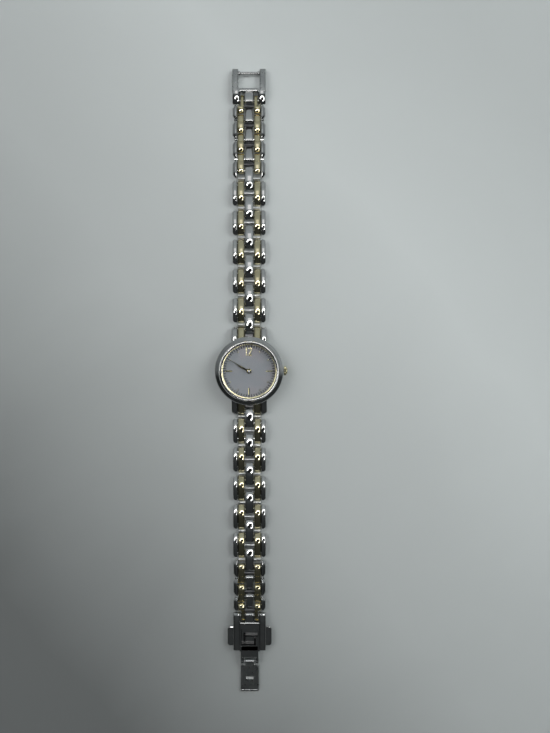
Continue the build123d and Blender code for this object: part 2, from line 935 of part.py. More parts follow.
box_pin_y = small_pin_y(small_count_6 + 1)
box_low = box_pin_y - pin_z
box_high = box_low + box_length
hinge_y = box_high + hinge_reach
deck_low = box_pin_y + box_slot_depth
window_high = box_high - window_end_wall
window_low = window_high - window_length
catch_y = hinge_y - catch_reach - catch_length / 2
button_high = catch_y + catch_length / 2 + hook_gap + arm_width + fixed_gap
button_low = button_high - button_length
cavity_low = button_low - running_gap
button_low_z = floor_thickness + button_lift
cavity_high_z = deck_height - roof_thickness


def box_rails():
    """Two side rails joined by a floor and a deck, hollow between them."""
    half_slot = slot_width / 2 + side_gap
    rail = domed(half_slot, half_width, box_low, box_high, rail_height, clasp_crown_radius)
    deck = slab(-half_width + edge_round, half_width - edge_round, deck_low, box_high, 0, deck_height)
    body = deck
    for piece in both_sides(rail):
        body += piece
    body += slab(-half_slot, half_slot, deck_low, deck_low + ridge_width, deck_height,
                 deck_height + ridge_height)
    return body


def clasp_box():
    """Clasp body with a window over the button hooks and two hinge ears."""
    body = box_rails()
    inner = half_width - box_wall
    body -= slab(-inner, inner, cavity_low, window_high, floor_thickness, cavity_high_z)
    body -= slab(-window_width / 2, window_width / 2, window_low, window_high, floor_thickness,
                 rail_height + overrun)
    body -= slab(-half_width - overrun, half_width + overrun, cavity_low, button_high + running_gap,
                 floor_thickness, button_low_z + button_thickness + running_gap)
    body += clasp_tongue_blank(box_pin_y, deck_low + pin_z)
    knuckle = slab(-slot_width / 2, slot_width / 2, box_high - box_wall, box_high + knuckle_length, 0,
                   deck_height)
    knuckle -= slab(-inner, inner, cavity_low, window_high, floor_thickness, deck_height + overrun)
    body += knuckle
    eye = hinge_eye_diameter / 2
    ear_outer = slot_width / 2
    ear_shape = rod(eye, ear_outer - hinge_ear_width, ear_outer, hinge_y, hinge_height)
    ear_shape += slab(ear_outer - hinge_ear_width, ear_outer, box_high + knuckle_length - fixed_gap,
                      hinge_y, hinge_height - eye, hinge_height + eye)
    for piece in both_sides(ear_shape):
        body += piece
    body -= bore(box_pin_y)
    body -= rod(hinge_pin_diameter / 2 + fixed_gap, -ear_outer - overrun, ear_outer + overrun, hinge_y,
                hinge_height)
    return [body, cross_pin(box_pin_y)]


def tongue_pin():
    """Hinge pin of the folding tongue."""
    return rod(hinge_pin_diameter / 2, -slot_width / 2, slot_width / 2, hinge_y, hinge_height)


def clasp_tongue():
    """Folding blade with a rolled eye and the square catch."""
    closed_top = 2 * hinge_height - deck_height - running_gap
    low = closed_top - blade_thickness
    y0 = hinge_y + blade_start
    y1 = hinge_y + blade_reach
    half = blade_width / 2
    blade = slab(-half, half, y0, y1, low, closed_top)
    blade = fillet(blade.edges().filter_by(Axis.Z), blade_corner)
    knuckle_half = tongue_knuckle_width / 2
    eye = rod(hinge_eye_diameter / 2, -knuckle_half, knuckle_half, hinge_y, hinge_height)
    neck = slab(-knuckle_half, knuckle_half, hinge_y, y0 + blade_corner, low, closed_top)
    catch = slab(-catch_width / 2, catch_width / 2, hinge_y + catch_reach,
                 hinge_y + catch_reach + catch_length, closed_top, closed_top + catch_height)
    body = blade + eye + neck + catch
    return body - rod(hinge_pin_diameter / 2 + running_gap, -slot_width, slot_width, hinge_y,
                      hinge_height)


def push_button(arm_low, hook_low, hook_high):
    """Button on the +X side whose hook grips the far side of the catch."""
    outer = half_width + button_stand
    inner = half_width - button_guide - button_travel
    z0 = button_low_z
    z1 = z0 + button_thickness
    cap = slab(inner, outer, button_low, button_high, z0, z1)
    corners = cap.edges().filter_by(Axis.Z).group_by(Axis.X)[-1]
    cap = fillet(corners, button_corner)
    hook_face = -(catch_width / 2 + hook_gap)
    arm_z = cavity_high_z - running_gap
    arm = slab(hook_face - hook_width, inner + fixed_gap, arm_low, arm_low + arm_width, z0, arm_z)
    hook = slab(hook_face - hook_width, hook_face, hook_low, hook_high, z0, arm_z)
    return cap + arm + hook


def button_right():
    """Right button, its arm passing on the head side of the catch."""
    arm_low = catch_y - catch_length / 2 - hook_gap - arm_width
    return push_button(arm_low, arm_low, catch_y + catch_length / 4)


def button_left():
    """Left button, its arm passing on the hinge side of the catch."""
    arm_low = catch_y + catch_length / 2 + hook_gap
    shape = push_button(arm_low, catch_y - catch_length / 4, arm_low + arm_width)
    return mirror(shape, about=Plane.YZ)


# Write the nodes
saved("case_middle", case_middle())
saved("lug_inlays", *lug_inlays())
saved("lug_pins", *[facing(cross_pin(lug_pin_y), side) for side in (12, 6)])
saved("bezel", bezel())
saved("dial_ring", dial_ring())
saved("crystal", crystal())
saved("gaskets", *gaskets())
saved("case_back", case_back())
saved("dial", dial())
saved("dial_markers", *dial_markers())
saved("hour_hand", hour_hand())
saved("minute_hand", minute_hand())
saved("cannon_pinion", cannon_pinion())
saved("minute_wheel", minute_wheel())
saved("hour_wheel", hour_wheel())
saved("main_plate", main_plate())
saved("movement_holder", movement_holder())
saved("battery", battery())
saved("drive_coil", *drive_coil())
saved("circuit_board", circuit_board())
saved("step_rotor", step_rotor())
saved("setting_lever", setting_lever())
saved("winding_stem", winding_stem())
saved("crown", crown())
for side, small_count in ((12, small_count_12), (6, small_count_6)):
    for index in range(1, block_count + 2):
        saved(f"centre_link_{side}_{index}", *[facing(s, side) for s in centre_link(index)])
    for index in range(1, block_count + 1):
        saved(f"block_link_{side}_{index}", *[facing(s, side) for s in block_link(index)])
    for index in range(1, small_count + 1):
        pieces = small_link(index, index == small_count)
        saved(f"small_link_{side}_{index}", *[facing(s, side) for s in pieces])
saved("clasp_frame", *clasp_frame())
saved("frame_bar", frame_bar())
saved("clasp_box", *[facing(shape, 6) for shape in clasp_box()])
saved("tongue_pin", facing(tongue_pin(), 6))
saved("clasp_tongue", facing(clasp_tongue(), 6))
saved("button_right", facing(button_right(), 6))
saved("button_left", facing(button_left(), 6))
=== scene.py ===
import json
import math

import bmesh
import bpy
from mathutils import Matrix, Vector


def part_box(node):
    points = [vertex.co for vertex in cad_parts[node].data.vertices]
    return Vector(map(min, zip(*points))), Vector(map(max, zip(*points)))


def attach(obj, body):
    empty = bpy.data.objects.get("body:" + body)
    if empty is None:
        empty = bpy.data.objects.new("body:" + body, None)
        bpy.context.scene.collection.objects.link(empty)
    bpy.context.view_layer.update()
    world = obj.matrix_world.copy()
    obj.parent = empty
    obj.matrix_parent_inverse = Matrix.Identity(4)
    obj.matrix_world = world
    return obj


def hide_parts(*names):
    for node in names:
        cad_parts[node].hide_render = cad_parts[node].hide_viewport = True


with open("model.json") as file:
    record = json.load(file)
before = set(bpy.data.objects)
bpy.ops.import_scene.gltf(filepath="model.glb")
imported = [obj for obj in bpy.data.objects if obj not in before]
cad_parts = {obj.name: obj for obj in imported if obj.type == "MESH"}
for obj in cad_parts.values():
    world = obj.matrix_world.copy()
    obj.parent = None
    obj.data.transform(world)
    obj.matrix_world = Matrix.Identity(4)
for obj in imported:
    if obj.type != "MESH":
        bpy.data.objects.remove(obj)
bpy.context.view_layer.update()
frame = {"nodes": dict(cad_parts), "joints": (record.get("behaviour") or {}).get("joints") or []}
nodes = frame["nodes"]
joints = {j["child"]: j for j in frame["joints"]}
MM = 0.001
STEEL, GOLD = "polished_steel", "gold_plate"

# Sizes of the detail, in millimetres
SEAM = 0.07  # half the dark line between a silver and a gold column
GOLD_IN = 1.55  # inner side of the gold columns
CENTRE_HALF = 1.4  # half width of the centre columns and tongues
LUG_X = 5.75  # outer side of the lugs
CROWN_RADIUS, GOLD_CROWN, CENTRE_CROWN = 8.0, 7.0, 9.0  # arches of the columns, seen from the side
BAR_RADIUS, SMALL_BAR_RADIUS, PIN_RADIUS = 0.6, 0.5, 0.35
BAR_HALF, PIN_HALF, CLASP_PIN_HALF = 2.65, 4.75, 3.73
BAR_EDGE, PIN_EDGE = 0.08, 0.06
KNUCKLE_RADIUS, HINGE_Z = 0.75, 1.45  # hinge of the clasp's tongue
CATCH_FROM_HINGE = 6.9
TIP = 0.001  # radius where a turned shape closes
THINNEST = 0.08  # height of a column where its round end runs out
SOFTEN = 0.3  # place of the middle point of a softened edge


def box(node):
    """Lowest and highest corner of a node at rest, in millimetres."""
    low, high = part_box(node)
    return [v / MM for v in low], [v / MM for v in high]


def hinge_y(body):
    return joints[body]["pos_m"][1] / MM


def new_object(name, verts, faces, material):
    """A mesh object in the scene, its points in metres."""
    mesh = bpy.data.meshes.new(name)
    mesh.from_pydata(verts, [], faces)
    item = bpy.data.objects.new(name, mesh)
    item.data.materials.append(material)
    bpy.context.scene.collection.objects.link(item)
    return item


# Mesh building, all in millimetres
class Shape:
    """Vertices and faces of one piece, gathered from several closed shells."""

    def __init__(self):
        self.verts = []
        self.faces = []

    def add(self, verts, faces):
        base = len(self.verts)
        self.verts += verts
        self.faces += [tuple(base + i for i in face) for face in faces]

    def lathe(self, profile, steps=96, axis="z", centre=(0, 0, 0), closed=True):
        """Turn (radius, height) points round an axis."""
        verts, faces = [], []
        count = len(profile)
        for step in range(steps):
            a = 2 * math.pi * step / steps
            for radius, height in profile:
                u, v = radius * math.cos(a), radius * math.sin(a)
                point = (u, v, height) if axis == "z" else (height, u, v)
                verts.append(tuple(p + c for p, c in zip(point, centre)))
        last = count if closed else count - 1
        for step in range(steps):
            here, there = step * count, (step + 1) % steps * count
            for i in range(last):
                k = (i + 1) % count
                faces.append((here + i, there + i, there + k, here + k))
        self.add(verts, faces)

    def loft(self, sections):
        """Join rings with as many points each, and close both ends."""
        verts, faces = [], []
        count = len(sections[0])
        for ring in sections:
            verts += ring
        for s in range(len(sections) - 1):
            for i in range(count):
                k = (i + 1) % count
                a, b = s * count, (s + 1) * count
                faces.append((a + i, a + k, b + k, b + i))
        faces.append(tuple(range(count - 1, -1, -1)))
        top = (len(sections) - 1) * count
        faces.append(tuple(top + i for i in range(count)))
        self.add(verts, faces)

    def rod(self, radius, x0, x1, y, z, edge=0.12, steps=28):
        """A round bar along X with softened ends."""
        soft = edge * SOFTEN
        self.lathe([
            (TIP, x0), (radius - edge, x0), (radius - soft, x0 + soft), (radius, x0 + edge),
            (radius, x1 - edge), (radius - soft, x1 - soft), (radius - edge, x1), (TIP, x1),
        ], steps, "x", (0, y, z), closed=False)

    def plate(self, outline, z0, z1, edge=0.1, edge_low=None):
        """A flat plate with softened edges from a closed outline of (x, y) points."""
        edge_low = edge if edge_low is None else edge_low
        soft_low, soft = edge_low * SOFTEN, edge * SOFTEN
        rings = []
        for inset, z in ((edge_low, z0), (soft_low, z0 + soft_low), (0, z0 + edge_low),
                         (0, z1 - edge), (soft, z1 - soft), (edge, z1)):
            rings.append([(x, y, z) for x, y in inset_outline(outline, inset)])
        self.loft(rings)

    def object(self, name, material, angle=22):
        """Make the object, with hard edges where faces meet at more than an angle."""
        piece = new_object(name, [(x * MM, y * MM, z * MM) for x, y, z in self.verts], self.faces, material)
        work = bmesh.new()
        work.from_mesh(piece.data)
        bmesh.ops.recalc_face_normals(work, faces=work.faces)
        for face in work.faces:
            face.smooth = True
        for edge in work.edges:
            if len(edge.link_faces) == 2 and edge.calc_face_angle(0) > math.radians(angle):
                edge.smooth = False
        work.to_mesh(piece.data)
        work.free()
        return piece


def rectangle(x0, x1, y0, y1):
    return [(x0, y0), (x1, y0), (x1, y1), (x0, y1)]


def upright(half, y, z0, z1):
    """Corners of an upright rectangle across the bracelet."""
    return [(-half, y, z0), (half, y, z0), (half, y, z1), (-half, y, z1)]


def both(a, b):
    """A span of x and its mirror image."""
    return (a, b), (-b, -a)


def turned(points, degrees):
    """Turn (x, y) points clockwise round the middle of the dial."""
    a = math.radians(-degrees)
    return [(x * math.cos(a) - y * math.sin(a), x * math.sin(a) + y * math.cos(a)) for x, y in points]


def arc(cx, cz, radius, start, end, steps):
    return [(cx + radius * math.cos(math.radians(start + (end - start) * s / steps)),
             cz + radius * math.sin(math.radians(start + (end - start) * s / steps)))
            for s in range(steps + 1)]


def inset_outline(outline, inset):
    """Move a closed outline inwards by an amount, corner by corner."""
    if not inset:
        return list(outline)
    least_lean = 0.35
    count = len(outline)
    area = sum(outline[i][0] * outline[(i + 1) % count][1] - outline[(i + 1) % count][0] * outline[i][1]
               for i in range(count))
    sign = 1 if area > 0 else -1
    moved = []
    for i in range(count):
        a, b, c = outline[i - 1], outline[i], outline[(i + 1) % count]
        u = Vector((b[0] - a[0], b[1] - a[1])).normalized()
        v = Vector((c[0] - b[0], c[1] - b[1])).normalized()
        n = Vector((-u.y - v.y, u.x + v.x)) * sign
        if n.length < 1e-6:
            n = Vector((-u.y, u.x)) * sign
        n.normalize()
        lean = max(least_lean, n.dot(Vector((-u.y, u.x)) * sign))
        moved.append((b[0] + n.x * inset / lean, b[1] + n.y * inset / lean))
    return moved


def rounded(points, radii, steps=5):
    """Round the corners of a closed outline, each with its own radius."""
    most_of_side = 0.45
    out = []
    count = len(points)
    for i in range(count):
        a, b, c = (Vector(points[i - 1]), Vector(points[i]), Vector(points[(i + 1) % count]))
        u, v = (a - b), (c - b)
        if radii[i] <= 0:
            out.append((b.x, b.y))
            continue
        half = u.angle(v) / 2
        reach = min(radii[i] / math.tan(half), most_of_side * u.length, most_of_side * v.length)
        start, end = b + u.normalized() * reach, b + v.normalized() * reach
        for s in range(steps + 1):
            t = s / steps
            p = start * (1 - t) ** 2 + b * 2 * t * (1 - t) + end * t**2
            out.append((p.x, p.y))
    return out


def cross_section(x0, x1, low, high, radius, edge, foot=0.25):
    """Closed ring of (x, z): a gently round top, rounded shoulders, upright sides and a flat foot."""
    top_steps, shoulder_steps = 6, 5
    half, middle = (x1 - x0) / 2, (x0 + x1) / 2
    tall = high - low
    edge = min(edge, 0.6 * half, 0.45 * tall)
    foot = min(foot, 0.3 * tall, 0.4 * half)
    rim = half - edge
    crown = radius - math.sqrt(radius**2 - rim**2)
    ring = []
    for s in range(-top_steps, top_steps + 1):
        x = rim * s / top_steps
        ring.append((middle + x, high - (radius - math.sqrt(radius**2 - x**2))))
    slope = math.asin(min(1, rim / radius))
    shoulder = []
    for s in range(1, shoulder_steps + 1):
        a = slope + (math.pi / 2 - slope) * s / shoulder_steps
        reach = (math.sin(a) - math.sin(slope)) / (1 - math.sin(slope))
        drop = (math.cos(slope) - math.cos(a)) / math.cos(slope)
        shoulder.append((rim + edge * reach, high - crown - edge * drop))
    right = [(middle + x, z) for x, z in shoulder]
    left = [(middle - x, z) for x, z in reversed(shoulder)]
    soft = SOFTEN * foot
    base = [(middle + half, low + foot), (middle + half - soft, low + soft), (middle + half - foot, low),
            (middle - half + foot, low), (middle - half + soft, low + soft), (middle - half, low + foot)]
    return ring + right + base + left


def stations(y0, y1, end, inner):
    """Places along a column, close together at its round ends."""
    steps = 7
    turn = [end * (1 - math.cos(math.pi / 2 * s / steps)) for s in range(1, steps + 1)]
    turn = [0.02 * end] + turn
    body = [y0 + end + (y1 - y0 - 2 * end) * s / (inner + 1) for s in range(1, inner + 1)]
    return [y0 + t for t in turn] + body + [y1 - t for t in reversed(turn)]


def corner_cut(into, radius):
    """How far a round corner draws the side in, at a place this far from the end."""
    if into >= radius:
        return 0.0
    return radius - math.sqrt(radius**2 - (radius - into) ** 2)


def smooth_min(a, b, blend=0.12):
    h = max(blend - abs(a - b), 0) / blend
    return min(a, b) - h * h * blend / 4


def column(shape, x0, x1, y0, y1, height, radius=CROWN_RADIUS, across=4.0, edge=0.3,
           plan=None, middle=None, top=None, floor=None, corners=(0.2, 0.2), lean=0.0):
    """A pillow-topped column along Y with round ends.

    plan(y) gives its sides, top(y) and floor(y) limit its height, and lean tips its top outwards.
    """
    end = height / 2
    middle = (y0 + y1) / 2 if middle is None else middle
    upper_part = 0.5
    rings = []
    for y in stations(y0, y1, min(end, 0.49 * (y1 - y0)), 9 if floor is None else 60):
        into = min(y - y0, y1 - y)
        fall = end - math.sqrt(max(0, end**2 - (end - into) ** 2)) if into < end else 0
        arch = height - (radius - math.sqrt(max(0, radius**2 - (y - middle) ** 2)))
        high = smooth_min(height - fall, arch)
        if top is not None:
            high = smooth_min(high, top(y))
        low = max(fall, floor(y)) if floor else fall
        high = max(high, low + THINNEST)
        a, b = plan(y) if plan else (x0, x1)
        a, b = a + corner_cut(into, corners[0]), b - corner_cut(into, corners[1])
        ring = cross_section(a, b, low, high, across, edge)
        rings.append([(x, y, z - lean * max(0.0, abs(x) - gold_out) * (z > low + upper_part))
                      for x, z in ring])
    shape.loft(rings)


# Materials
def new_node(tree, kind, values):
    """A shader node with these constants on its sockets."""
    node = tree.nodes.new("ShaderNode" + kind)
    for name, value in values.items():
        node.inputs[name].default_value = value
    return node


def colour_ramp(tree, fac, stops):
    """Colours between (place, colour) stops."""
    ramp = tree.nodes.new("ShaderNodeValToRGB")
    elements = ramp.color_ramp.elements
    while len(elements) < len(stops):
        elements.new(0.5)
    for element, (place, colour) in zip(elements, stops):
        element.position = place
        element.color = (*colour, 1)
    tree.links.new(fac, ramp.inputs["Fac"])
    return ramp.outputs["Color"]


class Paint:
    """A material built from nodes."""

    def __init__(self, name):
        self.material = bpy.data.materials.new(name)
        self.material.use_nodes = True
        self.tree = self.material.node_tree
        self.bsdf = self.tree.nodes["Principled BSDF"]
        self.coords = self.tree.nodes.new("ShaderNodeTexCoord")

    def link(self, a, b):
        self.tree.links.new(a, b)

    def mapped(self, scale):
        """Place on the object times a scale, one for all axes or one for each."""
        scale = scale if isinstance(scale, tuple) else (scale,) * 3
        mapping = new_node(self.tree, "Mapping", {"Scale": scale})
        self.link(self.coords.outputs["Object"], mapping.inputs["Vector"])
        return mapping.outputs["Vector"]

    def noise(self, scale, detail=4.0, rough=0.55, distortion=0.0):
        noise = new_node(self.tree, "TexNoise", {"Scale": 1.0, "Detail": detail, "Roughness": rough,
                                                 "Distortion": distortion})
        self.link(self.mapped(scale), noise.inputs["Vector"])
        return noise.outputs["Fac"]

    def wave(self, kind, scale, distortion, detail=2.0):
        wave = new_node(self.tree, "TexWave", {"Scale": 1.0, "Distortion": distortion, "Detail": detail})
        wave.wave_type = kind
        wave.rings_direction = "Z"
        self.link(self.mapped(scale), wave.inputs["Vector"])
        return wave.outputs["Fac"]

    def ramp(self, fac, stops):
        return colour_ramp(self.tree, fac, stops)

    def span(self, fac, low, high, from_low=0.3, from_high=0.7):
        span = new_node(self.tree, "MapRange", {"From Min": from_low, "From Max": from_high,
                                                "To Min": low, "To Max": high})
        self.link(fac, span.inputs["Value"])
        return span.outputs["Result"]

    def plus(self, a, b):
        node = self.tree.nodes.new("ShaderNodeMath")
        node.operation = "ADD"
        for index, value in enumerate((a, b)):
            if isinstance(value, (int, float)):
                node.inputs[index].default_value = value
            else:
                self.link(value, node.inputs[index])
        return node.outputs[0]

    def bump(self, fac, strength, distance=0.00001):
        bump = new_node(self.tree, "Bump", {"Strength": strength, "Distance": distance})
        self.link(fac, bump.inputs["Height"])
        self.link(bump.outputs["Normal"], self.bsdf.inputs["Normal"])

    def colour(self, output):
        self.link(output, self.bsdf.inputs["Base Color"])

    def rough(self, output):
        self.link(output, self.bsdf.inputs["Roughness"])

    def set(self, name, value):
        self.bsdf.inputs[name].default_value = value


def metal(name, dark, light, rough, scratch=(5200, 420, 5200), bump=0.03):
    """Metal with cloudy colour, uneven polish and fine handling scratches."""
    paint = Paint(name)
    paint.set("Metallic", 1.0)
    cloud = paint.noise(315, 3.0)
    paint.colour(paint.ramp(cloud, [(0.3, dark), (0.7, light)]))
    fine = paint.noise(900, 5.0, 0.6)
    scratches = paint.noise(scratch, 2.0, 0.5, 0.4)
    paint.rough(paint.plus(paint.span(fine, *rough), paint.span(scratches, 0.0, 0.05, 0.55, 0.8)))
    paint.bump(scratches, bump)
    return paint.material


POLISH = 0.02
steel = metal("polished_steel_paint", (0.60, 0.605, 0.60), (0.72, 0.72, 0.71), (0.035, 0.085), bump=POLISH)
satin = metal("satin_steel_paint", (0.50, 0.51, 0.51), (0.62, 0.63, 0.62), (0.24, 0.36),
              scratch=(300, 7000, 300), bump=0.12)
gold = metal("pale_gold_paint", (0.66, 0.59, 0.38), (0.80, 0.73, 0.49), (0.04, 0.09), bump=POLISH)
bright_gold = metal("bright_gold_paint", (0.72, 0.65, 0.40), (0.86, 0.79, 0.52), (0.06, 0.14), bump=POLISH)
ring_gold = metal("satin_gold_paint", (0.74, 0.68, 0.45), (0.86, 0.81, 0.58), (0.16, 0.26), bump=POLISH)
# Rougher steel for the crossbars, paler than the polished steel: the rougher finish is real, the paler colour
# is a painted highlight for the bright band along each bar.
lit_bar_steel = metal("painted_highlight_bar_steel_paint", (0.76, 0.765, 0.76), (0.86, 0.86, 0.85), (0.30, 0.38), bump=POLISH)
# Steel darkened as painted shade, for parts that lie in shadow: the bridges between the lugs and the small
# links' crossbars.
shaded_steel = metal("painted_shade_steel_paint", (0.16, 0.16, 0.165), (0.24, 0.24, 0.24), (0.3, 0.45))
# Near-black steel for the buttons' arms and hooks: painted shade inside the box's window.
shaded_hook_steel = metal("painted_shade_hook_steel_paint", (0.06, 0.06, 0.062), (0.10, 0.10, 0.10), (0.3, 0.45))
brass = metal("movement_brass_paint", (0.55, 0.46, 0.26), (0.72, 0.60, 0.34), (0.22, 0.38))
bare_steel = metal("movement_steel_paint", (0.45, 0.45, 0.46), (0.6, 0.6, 0.6), (0.2, 0.34))


def brushed_round(name, dark, light, rough):
    """Fine circular brushing round the middle of the head."""
    paint = Paint(name)
    paint.set("Metallic", 1.0)
    brushing = paint.wave("RINGS", 2600, 3.0, 3.0)
    cloud = paint.noise(220, 3.0)
    paint.colour(paint.ramp(cloud, [(0.3, dark), (0.7, light)]))
    paint.rough(paint.span(brushing, *rough, 0.0, 1.0))
    paint.bump(brushing, 0.05)
    return paint.material


def dial_material():
    """Grey satin dial with a faint blue and violet sheen and a very fine grain."""
    paint = Paint("dial_paint_grain")
    paint.set("Specular IOR Level", 0.15)
    cloud = paint.noise(170, 2.0, 0.5, 0.6)
    paint.colour(paint.ramp(cloud, [(0.30, (0.208, 0.223, 0.242)), (0.5, (0.225, 0.234, 0.253)),
                                    (0.72, (0.248, 0.238, 0.255))]))
    grain = paint.noise(16000, 2.0)
    paint.rough(paint.span(grain, 0.38, 0.55))
    paint.bump(grain, 0.08)
    return paint.material


def ink_material():
    """Dull printed ink."""
    paint = Paint("printed_ink")
    paint.set("Specular IOR Level", 0.1)
    speck = paint.noise(9000, 2.0)
    paint.colour(paint.ramp(speck, [(0.35, (0.020, 0.021, 0.024)), (0.7, (0.045, 0.046, 0.05))]))
    paint.rough(paint.span(speck, 0.75, 0.9))
    return paint.material


def glass_material():
    """Clear mineral glass. Its shadow is left clear, as thin glass throws almost none."""
    paint = Paint("mineral_glass")
    tree = paint.tree
    paint.set("IOR", 1.5)
    paint.set("Transmission Weight", 1.0)
    smear = paint.noise(260, 4.0, 0.6, 1.2)
    paint.colour(paint.ramp(smear, [(0.3, (0.965, 0.975, 0.97)), (0.7, (0.995, 0.998, 0.996))]))
    paint.rough(paint.span(smear, 0.0, 0.02, 0.5, 0.8))
    clear = tree.nodes.new("ShaderNodeBsdfTransparent")
    path = tree.nodes.new("ShaderNodeLightPath")
    mix = tree.nodes.new("ShaderNodeMixShader")
    paint.link(path.outputs["Is Shadow Ray"], mix.inputs[0])
    paint.link(paint.bsdf.outputs[0], mix.inputs[1])
    paint.link(clear.outputs[0], mix.inputs[2])
    paint.link(mix.outputs[0], tree.nodes["Material Output"].inputs["Surface"])
    return paint.material


def plain_paint(name, dark, light, rough):
    """Moulded or coated surface with a fine speckle."""
    paint = Paint(name)
    speck = paint.noise(4000, 4.0)
    paint.colour(paint.ramp(speck, [(0.3, dark), (0.7, light)]))
    paint.rough(paint.span(speck, *rough))
    paint.bump(speck, 0.1)
    return paint.material


def copper_material():
    """Fine enamelled wire wound round the core."""
    paint = Paint("coil_copper_paint")
    paint.set("Metallic", 1.0)
    wire = paint.wave("BANDS", 9000, 0.6)
    paint.colour(paint.ramp(wire, [(0.2, (0.42, 0.17, 0.07)), (0.8, (0.75, 0.36, 0.18))]))
    paint.rough(paint.span(wire, 0.25, 0.4, 0.0, 1.0))
    paint.bump(wire, 0.4, 0.00003)
    return paint.material


back_paint = brushed_round("brushed_back_paint", (0.48, 0.48, 0.48), (0.6, 0.6, 0.59), (0.22, 0.4))
dial_paint = dial_material()
ink = ink_material()
glass = glass_material()
rubber = plain_paint("black_rubber_paint", (0.008, 0.008, 0.009), (0.022, 0.022, 0.024), (0.5, 0.7))
holder_paint = plain_paint("holder_plastic_paint", (0.60, 0.60, 0.56), (0.70, 0.70, 0.66), (0.4, 0.55))
board_paint = plain_paint("board_paint", (0.05, 0.16, 0.07), (0.08, 0.22, 0.10), (0.35, 0.5))
camera_paint = plain_paint("recess_paint", (0.012, 0.012, 0.013), (0.03, 0.03, 0.032), (0.5, 0.6))
copper = copper_material()
for node, material in {
    "gaskets": rubber, "main_plate": brass, "movement_holder": holder_paint, "battery": bare_steel,
    "drive_coil": copper, "circuit_board": board_paint, "step_rotor": bare_steel,
    "setting_lever": bare_steel, "winding_stem": bare_steel, "cannon_pinion": bare_steel,
    "minute_wheel": brass, "hour_wheel": brass, "lug_pins": steel, "tongue_pin": steel,
}.items():
    for place in nodes[node].material_slots:
        place.material = material


def fit(shape, name, material, body, slot, *replaced, angle=22):
    """Make a piece, let it ride on its body and stand for its node."""
    piece = shape.object(name, material, angle=angle)
    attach(piece, body)
    if replaced:
        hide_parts(*replaced)


# Sizes of the head and the links, read from the frame
case_low, case_high = box("case_middle")
bezel_low, bezel_high = box("bezel")
ring_low, ring_high = box("dial_ring")
lens_low, lens_high = box("crystal")
dial_low, dial_high = box("dial")
back_high = box("case_back")[1]
case_radius = min(abs(case_low[0]), abs(case_high[0]))
case_top, case_foot = bezel_low[2], 0.5
bezel_radius, bezel_top = bezel_high[0], bezel_high[2]
bezel_bore = ring_high[0] + 0.05
ring_inner = ring_high[0] - 0.68
lug_end = case_high[1]
silver_x, _, link_height = box("block_link_12_1")[1]
pin_z = link_height / 2
gold_out = box("lug_inlays")[1][0]


# Head
def case_piece():
    """Case ring: a rounded foot, an upright wall and a gently convex slope up to the bezel."""
    foot_round, shoulder_round = 0.85, 0.3
    back_bore, dial_bore, movement_bore, movement_floor = 8.7, 8.66, 8.1, 1.2
    shoulder_z = case_top - 1.1
    profile = [(back_bore, case_foot)]
    profile += arc(case_radius - foot_round, case_foot + foot_round, foot_round, -90, 0, 8)
    profile += arc(case_radius - shoulder_round, shoulder_z, shoulder_round, 0, 48, 6)
    rim, rise = case_radius - 0.1, shoulder_z + 0.22
    for s in range(1, 10):
        t = s / 10
        bulge = 0.25 * t * (1 - t)
        profile.append((rim + (bezel_radius - rim) * t, rise + (case_top - rise) * (t + bulge)))
    profile += [(bezel_radius - 0.02, case_top), (bezel_bore, case_top), (bezel_bore, dial_high[2]),
                (dial_bore, dial_high[2]), (dial_bore, dial_low[2]), (movement_bore, dial_low[2]),
                (movement_bore, movement_floor), (back_bore, movement_floor)]
    shape = Shape()
    shape.lathe(profile, 160)
    lug_corner = 1.0
    for side in (1, -1):
        lug_column(shape, gold_out + SEAM, LUG_X, side, lug_corner, 1)
        lug_column(shape, -LUG_X, -gold_out - SEAM, side, lug_corner, -1)
    bridges = Shape()
    for side in (1, -1):
        bridge = rectangle(-GOLD_IN, GOLD_IN, side * (case_radius - 1.2), side * (case_radius + 1.15))
        bridges.plate(bridge, case_foot, 1.7, 0.35, 0.1)
    # The lug bridges take the darkened steel: painted shade for the dark slot between the lugs.
    fit(bridges, "lug_bridges", shaded_steel, "head", STEEL)
    fit(shape, "case_with_lugs", steel, "head", STEEL, "case_middle")


def lug_column(shape, x0, x1, side, corner=0.2, outer=0):
    """One lug column, rising from its round end to the case wall. outer is the side of an outer one."""
    end = link_height / 2
    inner = case_radius - 1.5
    arc_y = lug_end - end
    nose, nose_length, run_slope = 3.4, 1.2, 0.37
    rings = []
    places = [inner + (arc_y - inner) * s / 8 for s in range(9)]
    places += [arc_y + end * math.sin(math.pi / 2 * s / 8) for s in range(1, 9)]
    for y in places:
        rise = max(0.0, (arc_y - y) / (arc_y - inner))
        if outer and side > 0:
            into = max(0.0, y - case_radius + 0.1)
            bend = min(into, nose_length)
            drop = nose - math.sqrt(nose**2 - bend**2) + run_slope * (into - bend) + 0.1 * into
            high = link_height + 0.75 - 1.1 * drop
        else:
            high = link_height + 0.85 - 0.26 * max(0.0, y - inner)
        low = 0.5 * rise
        if y > arc_y:
            fall = end - math.sqrt(max(0, end**2 - (y - arc_y) ** 2))
            low += fall
            high = max(high - fall, low + THINNEST)
        cut = corner_cut(lug_end - y, corner)
        a = x0 + (cut if outer < 0 else 0)
        b = x1 - (cut if outer > 0 else 0)
        ring = cross_section(a, b, low, high, 5.0, 0.35)
        rings.append([(x, side * y, z) for x, z in ring])
    shape.loft(rings)


def inlay_piece():
    inlays = Shape()
    for side in (1, -1):
        for x0, x1 in both(GOLD_IN, gold_out - SEAM):
            lug_column(inlays, x0, x1, side)
    fit(inlays, "gold_lug_columns", gold, "head", GOLD, "lug_inlays")


